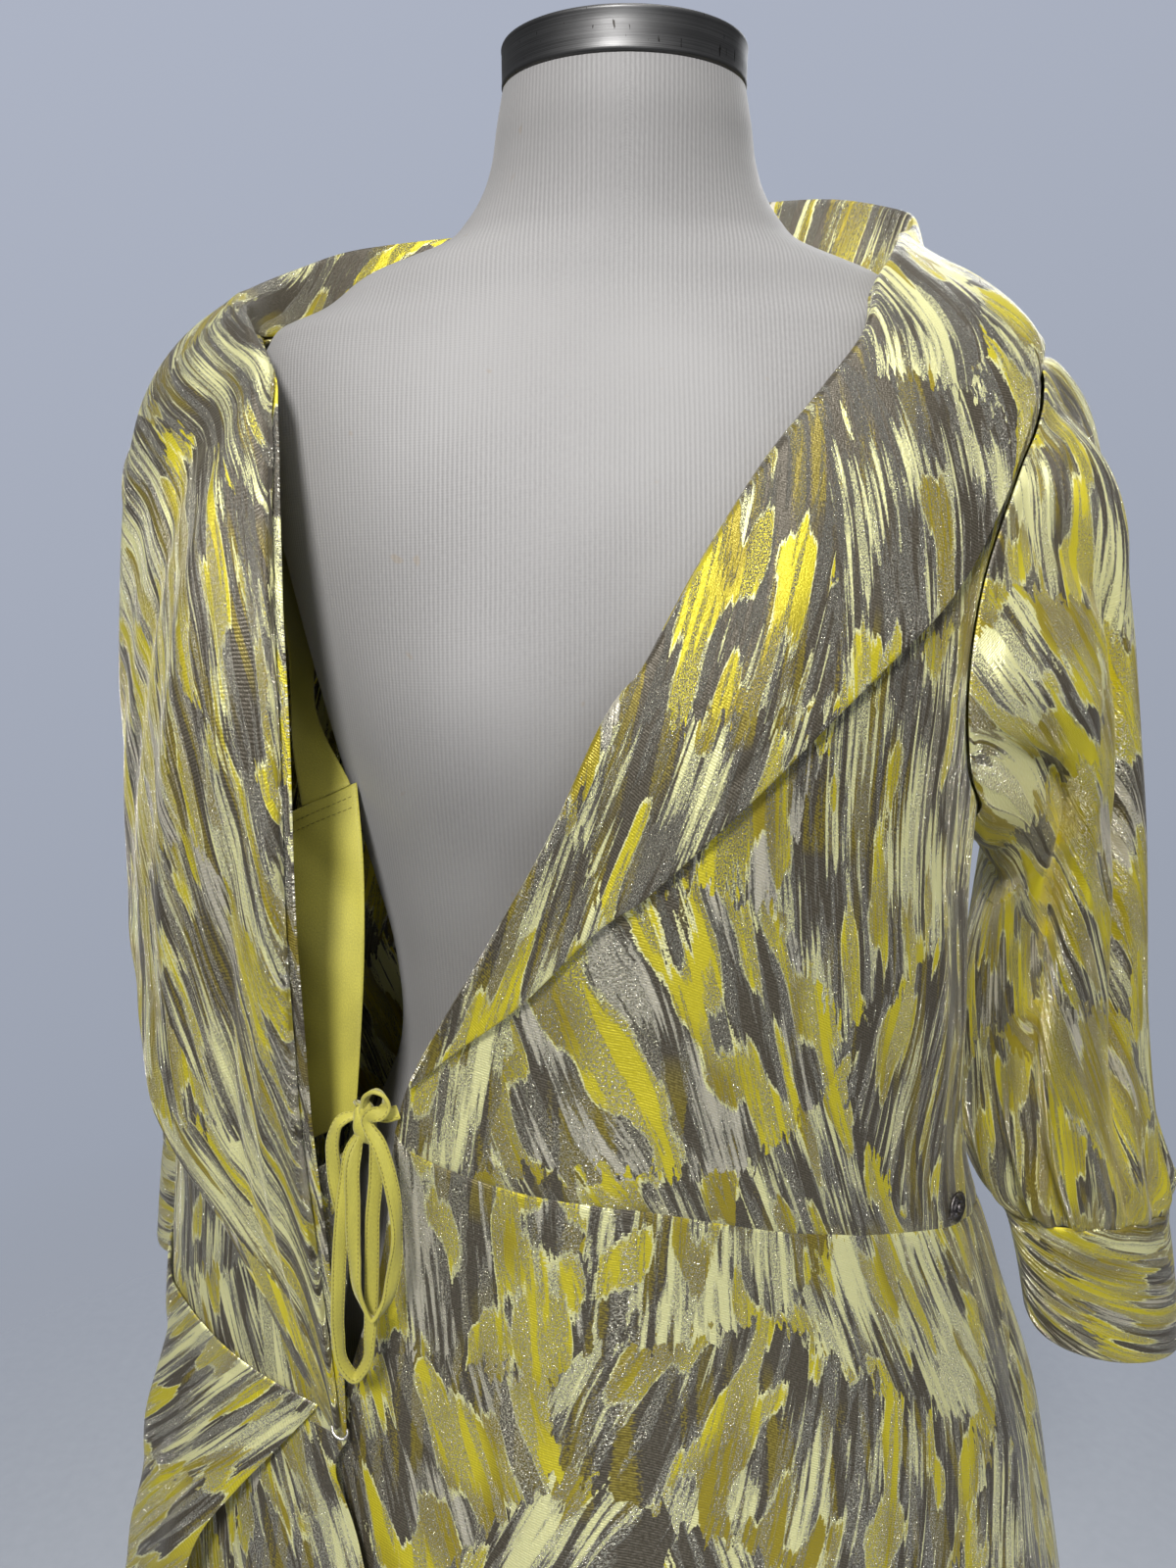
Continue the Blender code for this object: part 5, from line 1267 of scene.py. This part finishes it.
# Soft diagonal folds of the panel: share of the way up and across at both ends, half width and height
PANEL_FOLDS = (
    (0.95, 0.20, 0.40, 0.95, 0.09, 0.0034),
    (0.75, 0.05, 0.15, 0.85, 0.08, -0.0030),
    (1.00, 0.55, 0.62, 1.00, 0.07, -0.0026),
    (0.50, 0.02, 0.05, 0.50, 0.07, 0.0022),
)

crepe, tree, shader = new_material(
    "yellow_crepe", 0.58, Sheen_Weight=0.30, Sheen_Roughness=0.45, Specular_IOR_Level=0.42
)
flat_place = new_node(tree, "UVMap", uv_map="flat").outputs[0]
pebble = noise(tree, stretched(tree, flat_place, (1500, 1100, 1)), detail=2, roughness=0.6)
weave = noise(tree, stretched(tree, flat_place, (2600, 260, 1)), detail=1)
cloudy = noise(tree, flat_place, scale=26, detail=2)
tone = reckon(tree, "MULTIPLY_ADD", pebble, 0.55, reckon(tree, "MULTIPLY", cloudy, 0.55))
tone = blended(tree, spread(tree, tone, 0.32, 0.76), CREPE_DARK, CREPE_LIGHT)
tree.links.new(tone, shader.inputs["Base Color"])
tree.links.new(reckon(tree, "MULTIPLY_ADD", pebble, 0.16, 0.50), shader.inputs["Roughness"])
raised(tree, shader, reckon(tree, "MULTIPLY_ADD", weave, 0.6, pebble), 0.00016, 0.55)


def strip_grid(rows_table, rows, cols, folds=()):
    """Middle surface of a strip: straight lines from its side end, often on the gown's inner face, to its
    front end, bowed forward by half a sine, with its folds."""
    row = smooth_rows(rows_table, rows)
    if "side_turn" in row:
        side = gown_point(row["side_turn"], row["side_z"], -CLOTH / 2 - 2 * SEAM)
    else:
        side = np.stack([row["side_" + axis] for axis in "xyz"], -1)
    front = np.stack([row["front_" + axis] for axis in "xyz"], -1)
    u = np.linspace(0, 1, cols)[None, :, None]
    middle = side + (front - side) * u
    middle[..., 1] -= row["bow"] * np.sin(math.pi * u[..., 0])
    along, across = np.meshgrid(np.linspace(0, 1, rows), np.linspace(0, 1, cols), indexing="ij")
    soft = crease_height(along, across, folds) * np.sin(math.pi * across) ** 0.5
    return middle - grid_normals(middle) * soft[..., None]


def add_strip(name, middle, slot, material, grain, start):
    """Wall about a middle surface."""
    away = grid_normals(middle) * CLOTH / 2
    flat = cut_from(laid_flat(middle), grain, start)
    return add_wall(name + "_cloth", middle - away, middle + away, flat, slot, material, name)


panel_middle = strip_grid(INNER_PANEL, 90, 70, PANEL_FOLDS)
inner_panel = add_strip("inner_wrap_panel", panel_middle, "crepe", crepe, 0, (0, 0))
strap_middle = strip_grid(INNER_STRAP, 90, 16)
inner_strap = add_strip("inner_strap", strap_middle, "crepe", crepe, 0, (0.3, 0))
facing_middle = strip_grid(FACING_RIGHT, 60, 18)
facing = add_strip("front_facing_right", facing_middle, "jacquard", jacquard, -10, (0.9, 8.8))

# Topstitching.
# Small lockstitches in thread that matches the cloth, each a short pointed bead that lies half sunk in it.
THREAD_YELLOW = (0.270, 0.238, 0.030, 1.0)
STITCH_LENGTH = 0.0021
STITCH_GAP = 0.0007
THREAD_RADIUS = 0.00022
BEAD_SIDES = 6
BEAD_LIFT = 0.0001
STITCHED_ROWS = (-4, -7)  # rows of the inner panel's grid, counted from its upper edge
# Rings of a stitch: share of the way along it, size, and how far it is lifted, in radii
BEAD_RINGS = ((0.12, 0.75, -0.05), (0.5, 1.0, 0.35), (0.88, 0.75, -0.05))


def lengths_walked(points):
    """Length walked along a line of points to each of them."""
    return np.concatenate([[0], np.cumsum(np.linalg.norm(np.diff(points, axis=0), axis=1))])


def read_along(at, walked, values):
    """Rows of values read at the given lengths along a line."""
    return np.stack([np.interp(at, walked, values[:, k]) for k in range(values.shape[1])], -1)


def circles_on(first, second, count):
    """Circles of radius 1 in the planes of two directions, from the first one towards the second."""
    angle = np.linspace(0, 2 * math.pi, count, endpoint=False)[:, None]
    return first[..., None, :] * np.cos(angle) + second[..., None, :] * np.sin(angle)


def object_noise(tree, scale, detail):
    """Noise in the object's own space, as a value around 0.5."""
    place = new_node(tree, "TexCoord").outputs["Object"]
    return new_node(tree, "TexNoise", {"Vector": place, "Scale": scale, "Detail": detail}).outputs["Fac"]


def new_thread(name, colour):
    """Twisted thread, whose plies are fine noise in its colour and height."""
    made, tree, shader = new_material(name, 0.5, Sheen_Weight=0.2)
    ply = object_noise(tree, 5200.0, 1.0)
    dark = tuple(0.6 * c for c in colour[:3]) + (1.0,)
    tree.links.new(blended(tree, spread(tree, ply, 0.35, 0.65), dark, colour), shader.inputs["Base Color"])
    raised(tree, shader, ply, 0.00008, 0.6)
    return made


def add_stitches(
    name, lines, normals, slot, material, length=STITCH_LENGTH, gap=STITCH_GAP, radius=THREAD_RADIUS
):
    """Beads along lines of points, one for each stitch: three rings between two pointed ends."""
    starts, ends, ups = [], [], []
    for line, normal in zip(lines, normals):
        walked = lengths_walked(line)
        first = np.arange(gap, walked[-1] - length, length + gap)
        starts.append(read_along(first, walked, line))
        ends.append(read_along(first + length, walked, line))
        ups.append(read_along(first, walked, normal))
    starts, ends, ups = np.concatenate(starts), np.concatenate(ends), np.concatenate(ups)
    along = ends - starts
    across = unit(np.cross(ups, along))
    up = unit(np.cross(along, across))
    circles = circles_on(across, up, BEAD_SIDES)
    rings = [starts[:, None]]
    for way, size, lift in BEAD_RINGS:
        middle = starts + along * way + up * radius * lift
        rings.append(middle[:, None] + circles * radius * size)
    rings.append(ends[:, None])
    k = np.arange(BEAD_SIDES)
    n = (k + 1) % BEAD_SIDES
    none = np.full(BEAD_SIDES, -1)
    *firsts, last = [1 + BEAD_SIDES * ring for ring in range(len(BEAD_RINGS))]
    tip = last + BEAD_SIDES
    bead = [np.stack([0 * k, 1 + n, 1 + k, none], 1)]
    bead += [np.stack([s + k, s + n, s + BEAD_SIDES + n, s + BEAD_SIDES + k], 1) for s in firsts]
    bead += [np.stack([last + k, last + n, 0 * k + tip, none], 1)]
    bead = np.concatenate(bead)[None]
    first_point = (tip + 1) * np.arange(len(starts))[:, None, None]
    faces = np.where(bead >= 0, bead + first_point, -1).reshape(-1, 4)
    points = np.concatenate(rings, axis=1).reshape(-1, 3)
    return add_piece(name, points, faces, points[faces][..., [0, 2]], slot, material)


yellow_thread = new_thread("yellow_thread", THREAD_YELLOW)
panel_normal = -grid_normals(panel_middle)
lines, normals = [], []
for row in STITCHED_ROWS:
    lines.append(panel_middle[row] + panel_normal[row] * (CLOTH / 2 + BEAD_LIFT))
    normals.append(panel_normal[row])
add_stitches("inner_wrap_panel_stitches", lines, normals, "crepe", yellow_thread)

# The ties.
# Two flat tapes of the crepe, folded and edge-stitched. The right one comes from the inner panel and the left
# one from the front's corner; they are knotted together, with a small loop above and two long loops below.
TAPE_WIDTH = 0.0066
TAPE_THICKNESS = 0.0019
STITCHED_AT = 0.74  # share of the half width at which a tape is stitched
STITCHED_UP = 0.33  # share of the thickness at which these stitches lie
TAPE_STITCH = (0.0015, 0.0007, 0.00026)  # length, gap and radius
KNOT_MIDDLE = np.array((-0.1137, -0.1375, 1.0625))
KNOT_HALF = np.array((0.0052, 0.0042, 0.0100))
# Points of each tape's middle line, each with the roll of its broad face away from the front, in degrees
TIE_RIGHT = (
    (-0.1235, -0.1010, 1.0510, 0), (-0.1205, -0.1130, 1.0580, 10), (-0.1158, -0.1325, 1.0625, 20),
    (-0.1150, -0.1368, 1.0600, 25),
    (-0.1190, -0.1385, 1.0532, 20), (-0.1225, -0.1415, 1.0360, 0), (-0.1255, -0.1435, 1.0140, -18),
    (-0.1280, -0.1450, 0.9850, -30), (-0.1290, -0.1460, 0.9610, -48), (-0.1270, -0.1465, 0.9450, -66),
    (-0.1225, -0.1465, 0.9390, -72), (-0.1175, -0.1460, 0.9450, -58), (-0.1150, -0.1450, 0.9600, -30),
    (-0.1135, -0.1440, 0.9800, -8), (-0.1120, -0.1420, 1.0150, 22), (-0.1105, -0.1380, 1.0532, 34),
    (-0.1130, -0.1365, 1.0620, 45),
    (-0.1200, -0.1350, 1.0640, 66), (-0.1250, -0.1355, 1.0620, 60), (-0.1285, -0.1355, 1.0540, 34),
    (-0.1290, -0.1360, 1.0400, 4), (-0.1275, -0.1365, 1.0250, -20), (-0.1250, -0.1365, 1.0130, -34),
)
TIE_LEFT = (
    (-0.0992, -0.1372, 1.0672, 50), (-0.1045, -0.1395, 1.0668, 45), (-0.1084, -0.1385, 1.0662, 40),
    (-0.1130, -0.1378, 1.0680, 40),
    (-0.1133, -0.1388, 1.0710, 50), (-0.1122, -0.1398, 1.0762, 62), (-0.1085, -0.1408, 1.0792, 70),
    (-0.1045, -0.1420, 1.0778, 66), (-0.1032, -0.1434, 1.0738, 54), (-0.1052, -0.1448, 1.0710, 44),
    (-0.1085, -0.1444, 1.0700, 30),
    (-0.1115, -0.1432, 1.0676, 10), (-0.1062, -0.1462, 1.0560, -12), (-0.1012, -0.1490, 1.0370, -28),
    (-0.0998, -0.1505, 1.0160, -62), (-0.1020, -0.1510, 0.9960, -26), (-0.1065, -0.1510, 0.9800, -54),
    (-0.1120, -0.1510, 0.9730, -72), (-0.1170, -0.1505, 0.9820, -58), (-0.1190, -0.1495, 1.0040, -26),
    (-0.1188, -0.1480, 1.0280, 8), (-0.1180, -0.1440, 1.0500, 24), (-0.1160, -0.1400, 1.0570, 30),
)
# Half of a tape's section: place across it, and height, as shares; the dips are its two stitched lines
TAPE_SECTION = np.array((
    (-1.00, 0.00), (-0.97, 0.55), (-0.86, 0.90), (-0.74, 0.62), (-0.62, 0.92), (-0.25, 1.00),
    (0.25, 1.00), (0.62, 0.92), (0.74, 0.62), (0.86, 0.90), (0.97, 0.55), (1.00, 0.00),
))


def smooth_route(route, count):
    """Points spread evenly along a smooth curve through a route's points, with what else each holds."""
    route = np.array(route, float)
    length = lengths_walked(route[:, :3])
    at = np.linspace(0, length[-1], count)
    path = np.stack([smooth_value(at, length, route[:, k]) for k in range(route.shape[1])], -1)
    walked = lengths_walked(path[:, :3])
    return read_along(np.linspace(0, walked[-1], count), walked, path)


def tape_frame(path, roll):
    """Directions across and through a tape whose broad face is turned to the front, then rolled."""
    along = unit(np.gradient(path, axis=0))
    across = unit(np.cross(along, (0.0, -1.0, 0.0)))
    through = np.cross(along, across)
    roll = np.radians(roll)[:, None]
    return across * np.cos(roll) + through * np.sin(roll), through * np.cos(roll) - across * np.sin(roll)


def add_tape(name, route, count, *nodes):
    """Tape along a route: the section carried along it, narrower where the knot squeezes it."""
    path = smooth_route(route, count)
    path, roll = path[:, :3], path[:, 3]
    across, through = tape_frame(path, roll)
    from_knot = np.linalg.norm((path - KNOT_MIDDLE) / (KNOT_HALF * 1.5), axis=1)
    width = TAPE_WIDTH / 2 * (0.55 + 0.45 * smooth_step(from_knot - 0.5))
    section = np.concatenate([TAPE_SECTION, TAPE_SECTION[-2:0:-1] * (1, -1)])
    rings = path[:, None] + across[:, None] * (width[:, None] * section[:, 0])[..., None]
    rings = rings + through[:, None] * (TAPE_THICKNESS / 2 * section[:, 1])[None, :, None]
    made = add_loft(name, rings, "crepe", crepe, *nodes)
    edges, lifts = [], []
    for side, face in ((-1, -1), (-1, 1), (1, -1), (1, 1)):
        edge = path + across * (width * side * STITCHED_AT)[:, None]
        edges.append(edge + through * TAPE_THICKNESS * face * STITCHED_UP)
        lifts.append(through * face)
    stitches = add_stitches(name + "_stitches", edges, lifts, "crepe", yellow_thread, *TAPE_STITCH)
    return made, path, stitches


tie_right, path, stitches = add_tape(
    "tie_right", TIE_RIGHT, 300, "tie_lead_right", "tie_loop_long", "tie_end_left"
)
tie_left, path, stitches = add_tape(
    "tie_left", TIE_LEFT, 280, "tie_lead_left", "tie_loop_top", "tie_loop_short"
)

# The knot.
# Both tapes drawn tight round each other: three slanting turns with creases between them.
KNOT_TURNS = 3
KNOT_CORE, KNOT_SWELL, KNOT_CRUMPLE = 0.84, 0.22, 0.05  # shares of its size
KNOT_POLE = 0.16  # angle from its top and from its bottom at which the rings end


def knot_rings(rows, around):
    """Ellipsoid whose radius swells in turns that slant round it, and creases between them."""
    rise = np.linspace(math.pi - KNOT_POLE, KNOT_POLE, rows)[:, None]
    angle = np.linspace(0, 2 * math.pi, around, endpoint=False)[None, :]
    wrap = np.abs(np.sin(KNOT_TURNS * (math.pi - rise) / 2 + 0.9 * np.sin(angle + 0.4)))
    crumple = KNOT_CRUMPLE * np.sin(5 * angle + 4 * rise) * np.sin(rise)
    size = KNOT_CORE + KNOT_SWELL * wrap**0.6 + crumple
    shape = [np.sin(rise) * np.sin(angle), -np.sin(rise) * np.cos(angle), np.cos(rise) + 0 * angle]
    return np.stack(shape, -1) * size[..., None] * KNOT_HALF + KNOT_MIDDLE


add_loft("tie_knot_wrapped", knot_rings(60, 64), "crepe", crepe, "tie_knot")

# The snap stud.
# A blackened metal stud at the left end of the waist seam: a thin flange with a rolled rim, a ring and a
# small dimpled head, sewn on with dark thread.
SNAP_TURN, SNAP_Z = 58.7, 0.9925
SNAP_PROFILE = (
    (0.0060, 0.0000), (0.0070, 0.0000), (0.0074, 0.0005), (0.0074, 0.0011), (0.0071, 0.0015),
    (0.0067, 0.0016), (0.0063, 0.0013), (0.0056, 0.0011), (0.0047, 0.0011), (0.0043, 0.0016),
    (0.0039, 0.0020), (0.0034, 0.0021), (0.0030, 0.0018), (0.0027, 0.0013), (0.0024, 0.0012),
    (0.0022, 0.0022), (0.0020, 0.0029), (0.0015, 0.0031), (0.0010, 0.0029), (0.0005, 0.0024),
    (0.0002, 0.0023),
)
SNAP_COLOUR = (0.110, 0.100, 0.098, 1.0)
SNAP_WORN = (0.660, 0.590, 0.570, 1.0)
THREAD_DARK = (0.060, 0.050, 0.050, 1.0)
SNAP_THREADS = (20, 38, 110, 128, 200, 218, 290, 308)  # degrees round the stud
THREAD_ENDS = ((0.0052, 0.0016), (0.0098, -0.0006))  # radius and height at both ends
SNAP_STITCH = (0.0040, 0.0002, 0.00026)  # length, gap and radius


def add_turned(name, middle, normal, profile, around, slot, material, *nodes):
    """Solid turned about a line: rings of a radius, each at its height along the line. Returns the two
    directions of its rings."""
    first = unit(np.cross(normal, (0.0, 0.0, 1.0)))
    second = np.cross(normal, first)
    circle = circles_on(first, second, around)
    rings = [middle + circle * radius + normal * height for radius, height in profile]
    add_loft(name, np.array(rings), slot, material, *nodes)
    return first, second


dark_metal, tree, shader = new_material("worn_dark_metal", 0.32, Metallic=0.95)
worn = object_noise(tree, 700.0, 3.0)
rub = object_noise(tree, 160.0, 2.0)
bare = reckon(tree, "MULTIPLY", spread(tree, worn, 0.50, 0.70), spread(tree, rub, 0.42, 0.62))
tree.links.new(blended(tree, bare, SNAP_COLOUR, SNAP_WORN), shader.inputs["Base Color"])
tree.links.new(reckon(tree, "MULTIPLY_ADD", worn, 0.30, 0.18), shader.inputs["Roughness"])
raised(tree, shader, worn, 0.00006, 0.4)

seat = gown_point(SNAP_TURN, SNAP_Z, CLOTH + 2 * SEAM)
snap_normal = unit(seat - gown_point(SNAP_TURN, SNAP_Z, 0.0))
first, second = add_turned(
    "snap_stud_turned", seat, snap_normal, SNAP_PROFILE, 64, "dark_metal", dark_metal, "snap_stud"
)
dark_thread = new_thread("dark_thread", THREAD_DARK)
lines, normals = [], []
for turned in np.radians(SNAP_THREADS):
    ray = first * math.cos(turned) + second * math.sin(turned)
    lines.append(np.array([seat + ray * radius + snap_normal * height for radius, height in THREAD_ENDS]))
    normals.append(np.array([snap_normal, snap_normal]))
add_stitches("snap_stud_thread", lines, normals, "dark_metal", dark_thread, *SNAP_STITCH)

# The hook.
# A small hook of bright wire at the lower end of the right roll line, sewn on through its two little eyes.
HOOK_WIRE = 0.0007
WIRE_SIDES = 14
WIRE_ASIDE = (0.3, 0.2, -1.0)  # a direction that the wire never runs along
WIRE_LIGHT = (0.800, 0.770, 0.720, 1.0)
WIRE_DARK = (0.620, 0.590, 0.540, 1.0)
HOOK_ROUTE = (
    (-0.1370, -0.1360, 0.9035), (-0.1360, -0.1380, 0.9010), (-0.1335, -0.1395, 0.8995),
    (-0.1310, -0.1395, 0.8990), (-0.1295, -0.1380, 0.9000), (-0.1300, -0.1362, 0.9015),
)
bright_wire = brushed_steel("bright_hook_wire", WIRE_LIGHT, WIRE_DARK, 0.26)


def add_wire(name, route, count, radius, slot, material, *nodes):
    """Round wire along a route: a circle carried along it, which shrinks as a sine at both ends."""
    path = smooth_route(route, count)
    along = unit(np.gradient(path, axis=0))
    first = unit(np.cross(along, WIRE_ASIDE))
    circles = circles_on(first, np.cross(along, first), WIRE_SIDES)
    ends = np.sin(np.clip(np.arange(count)[:, None, None] / 3 + 0.15, 0, 1) * math.pi / 2)
    ends = ends * ends[::-1]
    return add_loft(name, path[:, None] + radius * circles * ends, slot, material, *nodes)


add_wire("hook_bent_wire", HOOK_ROUTE, 60, HOOK_WIRE, "hook_wire", bright_wire, "hook")

# The room.
# A plain pale floor that fades into the pale surroundings, soft light from large lamps above and in front,
# and a camera close in front of the gown, a little above its collar and tilted down.
# Painted light and painted shade of the backdrop that the camera sees: lighter to the upper left, darker
# lower down.
WALL_PAINTED_LIGHT = (0.422, 0.459, 0.556, 1.0)
WALL_PAINTED_SHADE = (0.290, 0.320, 0.385, 1.0)
ROOM_HIGH = (0.240, 0.247, 0.262, 1.0)
ROOM_LOW = (0.060, 0.062, 0.066, 1.0)
world = bpy.data.worlds.new("pale_room")
bpy.context.scene.world = world
world.use_nodes = True
tree = world.node_tree
direction = new_node(tree, "TexCoord").outputs["Generated"]
parts = new_node(tree, "SeparateXYZ", {0: direction})
level = reckon(tree, "MULTIPLY_ADD", parts.outputs[0], -0.25, parts.outputs[2])
# The backdrop seen by the camera is a painted gradient, painted light to the upper left and painted shade
# lower down; the room's own light is set apart below.
wall = blended(tree, spread(tree, level, -0.75, 0.45), WALL_PAINTED_SHADE, WALL_PAINTED_LIGHT)
room = blended(tree, spread(tree, parts.outputs[2], -0.60, 0.90), ROOM_LOW, ROOM_HIGH)
seen = new_node(tree, "LightPath").outputs["Is Camera Ray"]
tree.links.new(blended(tree, seen, room, wall), tree.nodes["Background"].inputs["Color"])

FLOOR_RADIUS = 2.6
FLOOR_SIDES = 96
FLOOR_Z = -0.0005
FLOOR_FADE = (0.55, 1.9)  # distances from the axis at which it starts to fade and is gone
FLOOR_SHADE = (0.520, 0.550, 0.600, 1.0)
FLOOR_LIGHT = (0.600, 0.630, 0.680, 1.0)
angle = np.linspace(0, 2 * math.pi, FLOOR_SIDES, endpoint=False)
edge = np.stack([FLOOR_RADIUS * np.sin(angle), FLOOR_RADIUS * np.cos(angle), 0 * angle + FLOOR_Z], -1)
floor_mesh = bpy.data.meshes.new("floor")
floor_mesh.from_pydata(edge.tolist(), [], [tuple(range(FLOOR_SIDES - 1, -1, -1))])
floor = bpy.data.objects.new("floor", floor_mesh)
bpy.context.scene.collection.objects.link(floor)
pale, tree, shader = new_material("pale_floor", 0.8)
speckle = object_noise(tree, 60.0, 3.0)
tree.links.new(blended(tree, speckle, FLOOR_SHADE, FLOOR_LIGHT), shader.inputs["Base Color"])
place = new_node(tree, "TexCoord").outputs["Object"]
away = new_node(tree, "VectorMath", {0: place}, operation="LENGTH").outputs["Value"]
clear = new_node(tree, "BsdfTransparent")
inputs = {0: spread(tree, away, *FLOOR_FADE), 1: shader.outputs[0], 2: clear.outputs[0]}
fade = new_node(tree, "MixShader", inputs)
tree.links.new(fade.outputs[0], tree.nodes["Material Output"].inputs["Surface"])
floor_mesh.materials.append(pale)

# Name, place, size, power and colour of each lamp, all aimed at the gown's middle
LAMPS = (
    ("lamp_key", (-0.35, -1.75, 2.60), 0.40, 50.0, (1.0, 0.99, 0.98)),
    ("lamp_fill", (0.20, -2.20, 1.25), 1.0, 6.0, (0.94, 0.97, 1.0)),
    ("lamp_top", (0.20, -0.20, 3.00), 0.9, 12.0, (1.0, 0.99, 0.97)),
    ("lamp_back", (0.80, 1.90, 2.20), 1.2, 12.0, (0.95, 0.97, 1.0)),
)
AIM = np.array((0.0, -0.05, 1.15))
for name, place, size, power, colour in LAMPS:
    lamp = bpy.data.objects.new(name, bpy.data.lights.new(name, "AREA"))
    lamp.data.shape = "DISK"
    lamp.data.size = size
    lamp.data.energy = power
    lamp.data.color = colour
    lamp.location = place
    aim = AIM - np.array(place)
    tilt = math.acos(-aim[2] / np.linalg.norm(aim))
    lamp.rotation_euler = (tilt, 0, math.atan2(-aim[0], aim[1]))
    bpy.context.scene.collection.objects.link(lamp)

LENS, SENSOR = 27.0, 36.0
CAMERA_PLACE = (-0.0165, -0.60, 1.33)
CAMERA_TILT = 76.0
camera = bpy.data.objects.new("camera", bpy.data.cameras.new("camera"))
camera.data.lens = LENS
camera.data.sensor_width = SENSOR
camera.data.clip_start = 0.02
camera.location = CAMERA_PLACE
camera.rotation_euler = (math.radians(CAMERA_TILT), 0, 0)
bpy.context.scene.collection.objects.link(camera)
bpy.context.scene.camera = camera
bpy.context.scene.view_settings.view_transform = "Standard"
